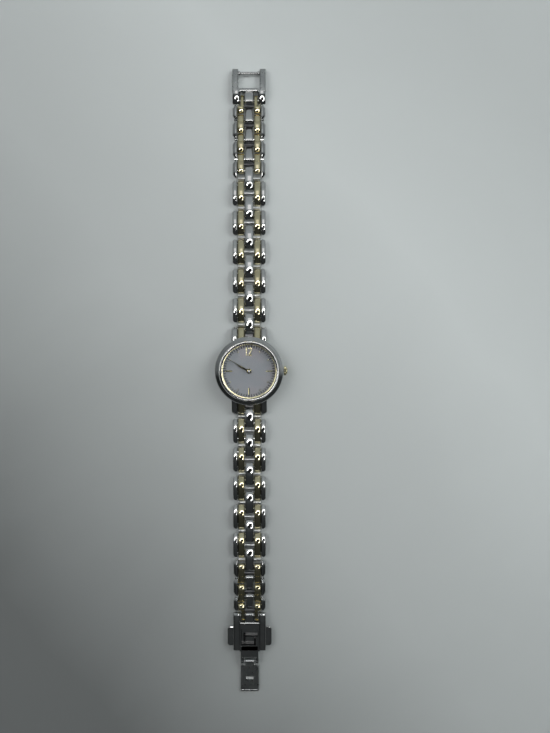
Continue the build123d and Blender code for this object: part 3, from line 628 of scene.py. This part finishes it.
def bezel_piece():
    """Polished bezel: a nearly upright side and a narrow round land on top."""
    side = [(0, 0), (0, 0.06), (0.04, 0.3), (0.11, 0.55), (0.20, 0.78), (0.29, 0.92)]
    land_radius, land_inset, land_angle = 0.9, 0.19, 12
    profile = [(bezel_bore, bezel_low[2])]
    profile += [(bezel_radius - inset, bezel_low[2] + rise) for inset, rise in side]
    profile += [(bezel_bore + land_inset + land_radius * math.sin(math.radians(t)),
                 bezel_top - land_radius + land_radius * math.cos(math.radians(t)))
                for t in range(land_angle, -land_angle, -2)]
    profile.append((bezel_bore, bezel_top - 0.06))
    shape = Shape()
    shape.lathe(profile, 192)
    fit(shape, "polished_bezel", steel, "head", STEEL, "bezel")


def dial_ring_piece():
    """Gold ring round the dial: its flange slopes gently inwards."""
    outer, top = ring_high[0], ring_high[2]
    rim, flange, step = 0.05, 0.5, 0.02
    profile = [(ring_inner, ring_low[2]), (outer, ring_low[2]), (outer, top), (outer - rim, top)]
    profile += [(ring_inner + rim + flange * (1 - s / 5), top - 0.012 - step * s) for s in range(6)]
    profile.append((ring_inner, top - 0.18))
    shape = Shape()
    shape.lathe(profile, 192)
    fit(shape, "gold_dial_ring", ring_gold, "head", GOLD, "dial_ring")


def crystal_piece():
    """Crystal with a bevelled edge and an almost flat dome."""
    radius, top = lens_high[0], lens_high[2]
    bevel, dome = 0.2, 0.02
    edge_z, inner = top - bevel, radius - bevel
    profile = [(TIP, lens_low[2]), (radius, lens_low[2]), (radius, edge_z - bevel),
               (inner + 0.1, edge_z + 0.1)]
    profile += [(r, top - dome * (r / inner) ** 2) for r in [inner * (1 - s / 16) for s in range(16)]]
    profile.append((TIP, top))
    shape = Shape()
    shape.lathe(profile, 128, closed=False)
    fit(shape, "domed_crystal", glass, "head", "crystal_glass", "crystal")


def dial_piece():
    radius, top = dial_high[0], dial_high[2]
    bore, edge, flat = 0.69, 0.03, 7.8
    profile = [(bore, dial_low[2]), (radius, dial_low[2]), (radius, top - edge), (radius - edge, top)]
    profile += [(radius - edge - flat * s / 12, top) for s in range(1, 13)]
    profile.append((bore, top))
    shape = Shape()
    shape.lathe(profile, 144)
    fit(shape, "satin_dial", dial_paint, "head", "dial_paint", "dial")


def minute_track_piece():
    """Sixty printed ticks, each fifth one a little longer and wider."""
    outer, level, ink_height = ring_inner - 0.02, dial_high[2], 0.012
    track = Shape()
    for minute in range(60):
        angle = math.radians(90 - 6 * minute)
        length, half = (0.92, 0.17) if minute % 5 == 0 else (0.85, 0.14)
        inner = outer - length
        c, s = math.cos(angle), math.sin(angle)
        corners = [(inner * c - half * s, inner * s + half * c), (outer * c - half * s, outer * s + half * c),
                   (outer * c + half * s, outer * s - half * c), (inner * c + half * s, inner * s - half * c)]
        track.plate(corners, level, level + ink_height, 0.004, 0.0)
    fit(track, "minute_track", ink, "head", "dial_paint")


def marker_pieces():
    """Batons at 3, 6 and 9, dots between them and a plain 12."""
    marker_low, marker_high = box("dial_markers")
    low, high, reach = marker_low[2], marker_high[2], marker_high[1]
    foot_edge, numeral_edge = 0.02, 0.07
    baton_half, baton_length, baton_edge, flat_edge = 0.22, 2.2, 0.14, 0.04
    dot_radius, dot_inset, round_dome, flat_dome = 0.23, 0.6, 0.1, 0.03
    # The 12, the baton at 3 and the dots at 1 and 2 go into the lit markers; the others into the polished
    # ones.
    markers, lit_markers = Shape(), Shape()
    for hour in range(1, 12):
        if hour % 3 == 0:
            baton = turned(rectangle(-baton_half, baton_half, reach - baton_length, reach), 30 * hour)
            edge = flat_edge if hour == 9 else baton_edge
            (lit_markers if hour == 3 else markers).plate(baton, low, high, edge, foot_edge)
        else:
            a = math.radians(90 - 30 * hour)
            x, y = (reach - dot_inset) * math.cos(a), (reach - dot_inset) * math.sin(a)
            dome = round_dome if hour < 3 else flat_dome
            profile = [(TIP, low), (dot_radius, low), (dot_radius, high - dome),
                       (dot_radius - 0.4 * dome, high - 0.4 * dome), (dot_radius - dome, high - 0.05 * dome),
                       (TIP, high)]
            (lit_markers if hour < 3 else markers).lathe(profile, 20, "z", (x, y, 0), closed=False)
    stroke, width, height, space = 0.42, 1.2, 2.7, 0.35
    one_x = -(width + space) / 2
    two_x = one_x + (stroke + width) / 2 + space
    foot_y = reach - height
    r = width / 2
    hook_y = reach - r
    one = rectangle(one_x - stroke / 2, one_x + stroke / 2, foot_y, reach)
    hook = arc(two_x, hook_y, r, 180, 0, 12) + arc(two_x, hook_y, r - stroke, 0, 180, 12)
    slant = [(two_x - r, foot_y), (two_x - r + 1.5 * stroke, foot_y), (two_x + r, hook_y),
             (two_x + r - stroke, hook_y)]
    foot = rectangle(two_x - r, two_x + r, foot_y, foot_y + stroke)
    lit_markers.plate(one, low, high, 0.09, foot_edge)
    for part in (hook, slant, foot):
        lit_markers.plate(part, low, high, numeral_edge, foot_edge)
    fit(markers, "polished_markers", bright_gold, "head", GOLD, "dial_markers", angle=20)
    # The lit markers take a paler, satin copy of the markers' gold: painted light where they catch the light.
    fit(lit_markers, "lit_markers", ring_gold, "head", GOLD, angle=20)


def hand_piece(name, node, length, width, angle, cap):
    """A slim pointed hand on its round hub, with a domed cap on the upper one."""
    low = box(node)[0][2]
    tail, hub, thickness = 1.1, 0.8, 0.12
    cap_radius, cap_height = 0.55, 0.12
    top = low + thickness
    points = [(0, -tail), (width / 2, -0.1), (width * 0.16, length * 0.86), (0, length),
              (-width * 0.16, length * 0.86), (-width / 2, -0.1)]
    shape = Shape()
    shape.plate(turned(points, angle), low, top, 0.03)
    shape.lathe([(TIP, low), (hub - 0.05, low), (hub, low + 0.04), (hub, top - 0.03), (hub - 0.04, top),
                 (TIP, top)], 40, closed=False)
    if cap:
        dome = [(cap_radius * math.cos(math.radians(t)), top + cap_height * math.sin(math.radians(t)))
                for t in range(0, 90, 10)]
        shape.lathe([(TIP, top)] + dome + [(TIP, top + cap_height)], 28, closed=False)
    fit(shape, name, bright_gold, node, GOLD, node)


def crown_piece():
    """Fluted crown with a smooth round cap."""
    low, high = box("crown")
    z = (low[2] + high[2]) / 2
    radius = (high[2] - low[2]) / 2
    cap, cap_height, cap_round = 1.05, 0.35, 0.27
    x0, x1 = low[0], high[0] - cap_height
    flutes, per, depth = 18, 6, 0.13
    rings = []
    for inset, x in ((0.35, x0), (0.08, x0 + 0.06), (0, x0 + 0.16),
                     (0, x1 - 0.16), (0.1, x1 - 0.05), (0.3, x1)):
        ring = []
        for s in range(flutes * per):
            a = 2 * math.pi * s / (flutes * per)
            dip = depth * (0.5 - 0.5 * math.cos(flutes * a)) ** 1.5
            reach = radius - inset - dip * (1 if inset < 0.2 else 0.4)
            ring.append((x, reach * math.cos(a), z + reach * math.sin(a)))
        rings.append(ring)
    shape = Shape()
    shape.loft(rings)
    neck = x1 + 0.08
    profile = [(TIP, x1 - 0.1), (cap, x1 - 0.1), (cap, neck)]
    profile += arc(cap - cap_round, neck, cap_round, 15, 90, 5) + [(TIP, x1 + cap_height)]
    shape.lathe(profile, 48, "x", (0, 0, z), closed=False)
    fit(shape, "fluted_crown", bright_gold, "crown", GOLD, "crown")


def back_piece():
    """Snap-on back with a shallow turned groove, a chamfer and a thin inner wall."""
    radius, top = back_high[0], back_high[2]
    wall, wall_inner, wall_height, floor = 8.05, 7.7, 0.65, 0.8
    groove = [(7.2, 0.0), (7.3, 0.06), (7.5, 0.06), (7.6, 0.0)]
    rim = [(radius - 0.35, 0.0), (radius - 0.05, 0.3), (radius, 0.38), (radius, top - wall_height)]
    profile = [(TIP, 0.0)] + groove + rim + [(wall, top - wall_height), (wall, top), (wall_inner, top),
                                             (wall_inner, floor), (TIP, floor)]
    shape = Shape()
    shape.lathe(profile, 128, closed=False)
    fit(shape, "snap_case_back", back_paint, "head", STEEL, "case_back")


case_piece()
inlay_piece()
bezel_piece()
dial_ring_piece()
crystal_piece()
dial_piece()
minute_track_piece()
marker_pieces()
hand_piece("slim_hour_hand", "hour_hand", 4.7, 0.62, 295.0, False)
hand_piece("slim_minute_hand", "minute_hand", 7.2, 0.5, 300.5, True)
crown_piece()
back_piece()


# Bracelet links, built towards 12 and mirrored for the side towards 6
def along(node, side):
    """Near and far end of a node, seen from the head."""
    low, high = box(node)
    return (low[1], high[1]) if side == 12 else (-high[1], -low[1])


def out(body):
    return abs(hinge_y(body))


def flipped(shape, side=6):
    if side == 6:
        shape.verts = [(x, -y, z) for x, y, z in shape.verts]
    return shape


def pin_rod(shape, y, half=PIN_HALF, steps=16):
    shape.rod(PIN_RADIUS, -half, half, y, pin_z, PIN_EDGE, steps)


def cross_bar(radius, y):
    """The crossbar between the two gold columns of a link."""
    bar = Shape()
    bar.rod(radius, -BAR_HALF, BAR_HALF, y, pin_z, BAR_EDGE, 24)
    return bar


def fit_link(name, side, silver, golden, cross, bar_paint=lit_bar_steel):
    """The silver, gold and crossbar pieces of one link, mirrored for the side towards 6."""
    fit(flipped(silver, side), name + "_steel", steel, name, STEEL, name)
    if golden:
        fit(flipped(golden, side), name + "_gold", gold, name, GOLD)
    # The crossbar's paint; the default paler steel carries a painted highlight.
    fit(flipped(cross, side), name + "_bar", bar_paint, name, STEEL)


def centre_link(side, name):
    """A round-ended column and the crossbar that lies across it."""
    bar_from_end, corner = 3.6, 0.35
    y0, y1 = along(name, side)
    bar_half = box(name)[1][0]
    shape, cross = Shape(), Shape()
    column(shape, -CENTRE_HALF, CENTRE_HALF, y0, y1, link_height, across=9.0, edge=0.34,
           radius=CENTRE_CROWN, corners=(corner, corner))
    cross.rod(BAR_RADIUS, -bar_half, bar_half, y1 - bar_from_end, pin_z)
    fit_link(name, side, shape, None, cross)


def block_link(side, name):
    """Two silver and two gold columns, the crossbar between them and both pins."""
    pin_from_bar, inner_corner, outer_corner = 2.515, 0.2, 0.75
    y0, y1 = along(name, side)
    middle = (y0 + y1) / 2
    silver, golden = Shape(), Shape()
    for x0, x1 in both(gold_out + SEAM, silver_x - 0.015):
        corners = (inner_corner, outer_corner) if x0 > 0 else (outer_corner, inner_corner)
        column(silver, x0, x1, y0, y1, link_height, across=5.0, corners=corners)
    for x0, x1 in both(GOLD_IN + SEAM, gold_out - SEAM):
        column(golden, x0, x1, y0, y1, link_height, across=6.4, radius=GOLD_CROWN)
    for pin in (-pin_from_bar, pin_from_bar):
        pin_rod(silver, middle + pin)
    fit_link(name, side, silver, golden, cross_bar(BAR_RADIUS, middle))


def lip(low, reach=0.8, radius=2.0):
    """Top line of a tongue that bends down towards its head end."""
    def top(y):
        into = low + reach - y
        return link_height - (radius - math.sqrt(radius**2 - into**2)) if into > 0 else link_height
    return top


def tongue_column(shape, pin, end, radius, middle):
    """A tongue that reaches back over the pin it turns on."""
    column(shape, -CENTRE_HALF, CENTRE_HALF, pin - pin_z, end + pin_z, link_height, across=30.0,
           radius=radius, middle=middle, top=lip(pin - pin_z))


def small_link(side, index, name, following):
    """Two notched silver ears, two gold columns with low tails, a tapering tongue and its crossbar."""
    notch, notch_length, tongue_tip = 0.75, 1.1, 0.92
    first_gold_low = 63.08
    pin, next_pin = out(name), out(following)
    last = following.startswith("clasp")
    bar = next_pin - 1.7
    y1 = along(name, side)[1]
    ear_low = bar - 4.3
    ear_high = next_pin - 1.45 if last else bar + 1.3
    gold_low = first_gold_low if index == 1 else bar - 2.35
    silver, golden = Shape(), Shape()
    for sign in (1, -1):

        def plan(y, sign=sign):
            cut = notch * max(0.0, 1 - min(y - ear_low, ear_high - y) / notch_length)
            a, c = gold_out + SEAM, silver_x - 0.02 - cut
            return (a, c) if sign > 0 else (-c, -a)

        column(silver, 0, 0, ear_low, ear_high, link_height, across=3.0, plan=plan, edge=0.45, lean=0.28)
    for x0, x1 in both(GOLD_IN + SEAM, gold_out - SEAM):
        column(golden, x0, x1, gold_low, ear_high, link_height, across=6.4, radius=5.6,
               middle=gold_low + 2.3)
    tail, tail_tip = 0.85, 0.1
    tail_out = 2.73 if last else gold_out - SEAM
    for x0, x1 in both(GOLD_IN + SEAM, tail_out):
        start = ear_high - 1.6
        places = [start + (y1 - tail - start) * s / 4 for s in range(5)]
        places += [y1 - tail + tail * math.sin(math.pi / 2 * s / 7) for s in range(1, 8)]
        rings = []
        for y in places:
            half = max(math.sqrt(max(0, tail**2 - max(0, y - y1 + tail) ** 2)), 0.04)
            high = pin_z + half - tail_tip * max(0.0, y - start)
            ring = cross_section(x0, x1, pin_z - half, max(high, pin_z - half + 0.05), 4.0, 0.3)
            rings.append([(x, y, z) for x, z in ring])
        golden.loft(rings)
    if index > 1:
        tongue_low = pin - pin_z

        def narrow(y):
            half = CENTRE_HALF + (tongue_tip - CENTRE_HALF) * min(1, (y - tongue_low) / (bar - tongue_low))
            return -half, half

        column(silver, 0, 0, tongue_low, bar + 0.1, link_height, across=30.0, plan=narrow,
               middle=tongue_low + 0.5, top=lip(tongue_low), corners=(0.12, 0.12))
    pin_rod(silver, pin)
    # The crossbar takes the darkened steel: painted shade for the dark gap it lies in.
    fit_link(name, side, silver, golden, cross_bar(SMALL_BAR_RADIUS, bar), shaded_steel)


for side in (12, 6):
    for index in range(1, 7):
        centre_link(side, f"centre_link_{side}_{index}")
    for index in range(1, 6):
        block_link(side, f"block_link_{side}_{index}")
for side, small_count, clasp_part in ((12, 4, "clasp_frame"), (6, 3, "clasp_box")):
    chain = [f"small_link_{side}_{index}" for index in range(1, small_count + 1)] + [clasp_part]
    for index in range(1, len(chain)):
        small_link(side, index, chain[index - 1], chain[index])


# Clasp, on both ends of the bracelet
def frame_pieces():
    """Forked frame: two long arms, a web between slot and window, a bead round the slot, and a bar."""
    low, high = box("clasp_frame")
    y0, y1, half, top = low[1], high[1], high[0], high[2]
    pin = hinge_y("clasp_frame")
    slot_half, window_half = 2.9, 3.4
    slot_high = pin + 2.6
    window_low = slot_high + 1.15
    shape, prongs = Shape(), Shape()
    for x0, x1 in both(slot_half, half):
        column(prongs, x0, x1, y0, slot_high + 1.5, top, across=6.0, edge=0.4, middle=slot_high + 0.6,
               corners=(0.5, 0.5))
    for x0, x1 in both(window_half, half):
        column(shape, x0, x1, slot_high - 0.6, y1, top, across=9.0, edge=0.35, radius=32.0,
               middle=slot_high + 0.5)
    shape.plate(rectangle(-half + 0.4, half - 0.4, slot_high, window_low), 0.03, top - 0.12, 0.2, 0.1)
    bead_half, bead_height, bead_back, bead_front = 0.6, 0.35, 1.5, 0.5
    path = rounded([(-3.35, slot_high - bead_back), (-3.2, slot_high + bead_front),
                    (3.2, slot_high + bead_front), (3.35, slot_high - bead_back)], [0, 1.3, 1.3, 0], 8)
    rings = []
    for i, (x, y) in enumerate(path):
        ahead = Vector(path[min(i + 1, len(path) - 1)]) - Vector(path[max(i - 1, 0)])
        ahead.normalize()
        sink = 0.3 * max(0.0, (slot_high - y) / bead_back)
        rings.append([(x - ahead.y * bead_half * math.cos(t), y + ahead.x * bead_half * math.cos(t),
                       top - 0.36 - sink + bead_height * math.sin(t))
                      for t in [math.pi * k / 10 for k in range(11)]])
    prongs.loft(rings)
    tongue_column(prongs, pin, slot_high, 9.0, pin - 0.4)
    pin_rod(prongs, pin, CLASP_PIN_HALF, 20)
    fit(shape, "clasp_frame_arms", satin, "clasp_frame", STEEL, "clasp_frame")
    fit(prongs, "clasp_frame_prongs", steel, "clasp_frame", STEEL)
    bar_low, bar_high = box("frame_bar")
    bar_y = (bar_low[1] + bar_high[1]) / 2
    collar_radius, collar_edge = 0.7, 0.16
    bar = Shape()
    bar.rod(SMALL_BAR_RADIUS, bar_low[0], bar_high[0], bar_y, pin_z, BAR_EDGE, 28)
    for x0, x1 in both(2.7, 3.38):
        bar.rod(collar_radius, x0, x1, bar_y, pin_z, collar_edge, 32)
    fit(bar, "frame_cross_bar", steel, "clasp_frame", STEEL, "frame_bar")


def box_piece():
    """Box of the clasp: two rails open for the buttons, a deck with a ridge, a window and two knuckles."""
    low, high = box("clasp_box")
    half, rail_z, y0 = high[0], high[2], -high[1]
    pin, hinge = -hinge_y("clasp_box"), -hinge_y("clasp_tongue")
    box_length, window_length, window_half = 12.8, 7.0, 2.65
    rail_in, deck_z, floor_z, button_z = 3.05, 2.1, 0.4, 1.72
    y1 = y0 + box_length
    deck = pin + 2.0
    knuckle_end = hinge - 1.4
    window_high = y1 - 0.3
    window_low = window_high - window_length
    button_low, button_high = box("button_right")
    b0, b1 = -button_high[1] - 0.05, -button_low[1] + 0.05
    shape = Shape()

    def rail_lip(y):
        into = y0 + 2.0 - y
        return rail_z - (4.0 - math.sqrt(16.0 - into**2)) if into > 0 else rail_z

    def rail_floor(y):
        return button_z if b0 < y < b1 else 0.0

    for x0, x1 in both(rail_in, half):
        column(shape, x0, x1, y0, y1, rail_z, across=5.0, edge=0.4, radius=60.0,
               middle=(y0 + y1) / 2, top=rail_lip, floor=rail_floor, corners=(0.3, 0.3))
    shape.plate(rectangle(-half + 0.1, half - 0.1, deck, y1 - 0.05), 0.0, floor_z, 0.06)
    shape.plate(rectangle(-3.2, 3.2, deck, window_low), 0.3, deck_z, 0.12)
    for x0, x1 in both(window_half, 3.3):
        shape.plate(rectangle(x0, x1, window_low - 0.2, window_high + 0.2), button_z, deck_z, 0.1)
    shape.plate(rectangle(-4.5, 4.5, b0 - 0.85, b0), 0.2, 1.8, 0.05)
    shape.plate(rectangle(-3.3, 3.3, window_high, y1), 0.2, deck_z, 0.08)
    ridge_half, ridge_height = 0.4, 0.35
    ridge = []
    for s in range(9):
        a = math.pi * s / 8
        y = deck + ridge_half - ridge_half * math.cos(a)
        ridge.append(upright(rail_in, y, deck_z - 0.2, deck_z - 0.05 + ridge_height * math.sin(a)))
    shape.loft(ridge)
    knuckle_in, knuckle_out = 1.9, 2.9
    shape.plate(rectangle(-knuckle_out, knuckle_out, y1 - 0.3, knuckle_end), 0.0, deck_z, 0.22, 0.1)
    for x0, x1 in both(knuckle_in, knuckle_out):
        shape.rod(KNUCKLE_RADIUS, x0, x1, hinge, HINGE_Z, 0.12, 32)
        shape.plate(rectangle(x0, x1, knuckle_end - 0.2, hinge), 0.72, deck_z + 0.05, 0.1)
    tongue_column(shape, pin, deck, 11.0, pin + 0.8)
    pin_rod(shape, pin, CLASP_PIN_HALF, 20)
    fit(flipped(shape), "clasp_box_body", steel, "clasp_box", STEEL, "clasp_box")


def tongue_piece():
    """Folding tongue: a thin blade with a raised end and a catch, bent up to the hinge's middle knuckle."""
    low, high = box("clasp_tongue")
    hinge = -hinge_y("clasp_tongue")
    blade_start, blade_low, blade_top = 1.55, 0.15, 0.75
    y0, y1, half = hinge + blade_start, -low[1], high[0]
    shape = Shape()
    shape.plate(rounded(rectangle(-half, half, y0, y1), [0.5] * 4), blade_low, blade_top, 0.09)
    end_lip = []
    for s in range(9):
        a = math.pi * s / 8
        end_lip.append(upright(half - 0.35, y1 - 0.36 - 0.3 * math.cos(a), 0.5, 0.62 + 0.24 * math.sin(a)))
    shape.loft(end_lip)
    shape.rod(KNUCKLE_RADIUS, -CENTRE_HALF, CENTRE_HALF, hinge, HINGE_Z, 0.1, 36)
    shape.loft([upright(CENTRE_HALF, hinge + ahead, z0, z1) for ahead, z0, z1 in (
        (0.1, 0.72, 2.05), (0.6, 0.5, 1.6), (1.1, 0.22, 1.05), (1.6, 0.15, 0.77), (2.2, 0.17, 0.74))])
    catch, catch_top = hinge + CATCH_FROM_HINGE, 1.55
    shape.plate(rectangle(-1.2, 1.2, catch - 1.0, catch + 1.0), 0.6, catch_top, 0.05)
    fit(flipped(shape), "folding_tongue", satin, "clasp_tongue", STEEL, "clasp_tongue")


def button_piece(name, sign):
    """A push button at the side, and the arm inside that hooks the catch."""
    low, high = box(name)
    z0, z1 = low[2], high[2]
    cap_in, cap_out = 4.05, max(abs(low[0]), abs(high[0]))
    hook, hook_width, arm_width = 1.35, 0.7, 0.5
    cap = Shape()
    outline = rounded(rectangle(cap_in, cap_out, low[1], high[1]), [0, 1.0, 1.0, 0], 7)
    cap.plate([(x * sign, y) for x, y in outline], z0, z1, 0.16)
    catch = hinge_y("clasp_tongue") + CATCH_FROM_HINGE
    arm = catch + 1.15 if sign > 0 else catch - 1.65
    arm_end = -hook - hook_width
    arms = Shape()
    arms.plate(rectangle(arm_end * sign, (cap_in + 0.1) * sign, arm, arm + arm_width), z0, z1 - 0.1, 0.05)
    hook_y = (arm + arm_width, catch - 0.5) if sign > 0 else (arm, catch + 0.5)
    arms.plate(rectangle(arm_end * sign, -hook * sign, *hook_y), z0, z1 - 0.1, 0.05)
    fit(cap, name + "_cap", steel, name, STEEL, name)
    # The arm and hook take the near-black steel: painted shade inside the box.
    fit(arms, name + "_arm", shaded_hook_steel, name, STEEL)


frame_pieces()
box_piece()
tongue_piece()
button_piece("button_right", 1)
button_piece("button_left", -1)


# Floor, light and camera, in metres
def floor_material():
    """Pale table, its colour darker towards the near left corner and lighter towards the far right: painted
    shade and painted light.
    """
    paint = Paint("pale_table_painted_light")
    paint.set("Specular IOR Level", 0.2)
    reach = 2.4
    # Painted light and shade: the table's brightness at places across it, darkest at the near left.
    stops = [(-1.03, 0.24), (-0.41, 0.56), (-0.1, 0.73), (0.17, 0.80), (0.56, 0.93), (1.17, 0.80)]
    spread = paint.tree.nodes.new("ShaderNodeVectorMath")
    spread.operation = "DOT_PRODUCT"
    spread.inputs[1].default_value = (7.33 / reach, 6.0 / reach, 0)
    paint.link(paint.coords.outputs["Object"], spread.inputs[0])
    cloud = paint.noise(9, 3.0, 0.5, 0.8)
    place = paint.plus(paint.plus(spread.outputs["Value"], 0.5), paint.span(cloud, -0.03, 0.03))
    paint.colour(paint.ramp(place, [((at + reach / 2) / reach, (0.70 * v, 0.735 * v, 0.73 * v))
                                    for at, v in stops]))
    fine = paint.noise(900, 4.0)
    paint.rough(paint.span(fine, 0.5, 0.6))
    paint.bump(fine, 0.03, 0.00002)
    return paint.material


def glowing(name, strength):
    material = bpy.data.materials.new(name)
    material.use_nodes = True
    tree = material.node_tree
    tree.nodes.remove(tree.nodes["Principled BSDF"])
    glow = new_node(tree, "Emission", {"Strength": strength})
    tree.links.new(glow.outputs[0], tree.nodes["Material Output"].inputs["Surface"])
    return material


def stage_piece(name, verts, faces, material, seen=False):
    item = new_object(name, verts, faces, material)
    item.visible_camera = seen


def flat(name, xs, ys, z, material, seen=False):
    """A level rectangle of the stage."""
    corners = [(x, y, z) for x, y in rectangle(*xs, *ys)]
    stage_piece(name, corners, [(0, 1, 2, 3)], material, seen)


def lamp_ring(inner, outer, height, strength, centre, start, end):
    """A flat, open ring of light facing down, seen in the polished metal."""
    steps = 96
    verts, faces = [], []
    for s in range(steps + 1):
        a = math.radians(start + (end - start) * s / steps)
        for radius in (inner, outer):
            verts.append((centre[0] + radius * math.cos(a), centre[1] + radius * math.sin(a), height))
    for s in range(steps):
        faces.append((2 * s, 2 * s + 2, 2 * s + 3, 2 * s + 1))
    stage_piece("lamp_ring", verts, faces, glowing("lamp_ring_glow", strength))


def area(name, place, aim, size, power, colour=(1, 1, 1)):
    data = bpy.data.lights.new(name, "AREA")
    data.shape = "RECTANGLE"
    data.size, data.size_y = size
    data.energy = power
    data.color = colour
    item = bpy.data.objects.new(name, data)
    item.location = place
    item.rotation_mode = "QUATERNION"
    item.rotation_quaternion = (Vector(aim) - Vector(place)).to_track_quat("-Z", "Y")
    item.visible_glossy = False
    bpy.context.scene.collection.objects.link(item)


def room_light():
    """Dark on the near side, grey low down on the far side, brightest overhead."""
    world = bpy.data.worlds.new("room")
    bpy.context.scene.world = world
    world.use_nodes = True
    tree = world.node_tree
    coords = tree.nodes.new("ShaderNodeTexCoord")
    split = tree.nodes.new("ShaderNodeSeparateXYZ")
    tree.links.new(coords.outputs["Generated"], split.inputs[0])

    def span(axis, low, high):
        node = new_node(tree, "MapRange", {"From Min": low, "From Max": high})
        tree.links.new(split.outputs[axis], node.inputs["Value"])
        return node.outputs["Result"]

    def levels(axis, stops):
        """Brightness by one axis of the direction, from -1 to 1."""
        return colour_ramp(tree, span(axis, -1, 1), [((place + 1) / 2, (0.96 * v, v, 1.01 * v))
                                                     for place, v in stops])

    def mixed(a, b, kind, factor=None):
        node = tree.nodes.new("ShaderNodeMix")
        node.data_type = "RGBA"
        node.blend_type = kind
        node.inputs["Factor"].default_value = 1.0
        if factor is not None:
            tree.links.new(factor, node.inputs["Factor"])
        tree.links.new(a, node.inputs["A"])
        tree.links.new(b, node.inputs["B"])
        return node.outputs["Result"]

    upper = mixed(levels("Y", [(-1.0, 0.03), (-0.3, 0.04), (-0.05, 0.08), (0.12, 0.45), (0.35, 0.42),
                               (0.6, 0.34), (0.9, 0.34)]),
                  levels("X", [(-0.9, 0.35), (-0.4, 0.6), (-0.15, 1.0), (0.2, 1.0), (0.45, 0.6),
                               (0.9, 0.35)]), "MULTIPLY")
    lower = mixed(levels("Y", [(-0.9, 0.03), (-0.22, 0.04), (-0.04, 0.27), (0.3, 0.33), (0.9, 0.31)]),
                  levels("X", [(-0.9, 0.5), (-0.3, 0.9), (0.3, 1.0), (0.9, 1.0)]), "MULTIPLY")
    sky = mixed(lower, upper, "MIX", span("Z", 0.3, 0.6))
    tree.links.new(sky, tree.nodes["Background"].inputs["Color"])


flat("table", (-2, 2), (-2, 2), 0, floor_material(), seen=True)

CAMERA_AT, CAMERA_TILT = (8.31, 9.40, 231.4), 2.0
FIELD_OF_VIEW, SENSOR = 54.5, 36
camera = bpy.data.objects.new("camera", bpy.data.cameras.new("camera"))
bpy.context.scene.collection.objects.link(camera)
camera.location = [v * MM for v in CAMERA_AT]
camera.rotation_euler = (-math.radians(CAMERA_TILT), 0, 0)
camera.data.sensor_width = SENSOR
camera.data.lens = SENSOR / 2 / math.tan(math.radians(FIELD_OF_VIEW / 2))
camera.data.clip_start = 0.01
camera.data.clip_end = 20
bpy.context.scene.camera = camera

lamp_ring(0.041, 0.058, 0.235, 6.5, (0.009, -0.008), -80, 185)
flat("camera_body", (-0.045, 0.055), (-0.06, 0.035), 0.238, camera_paint)
flat("ceiling_light", (-0.12, 0.10), (0.13, 0.37), 0.9, glowing("ceiling_glow", 0.9))
area("window_right", (0.55, 0.25, 0.42), (0, 0.02, 0), (0.35, 0.5), 2.7, (0.97, 1.0, 1.0))
area("fill_left", (-0.5, 0.15, 0.5), (0, 0, 0), (0.5, 0.5), 1.95)
room_light()
bpy.context.scene.view_settings.view_transform = "Standard"
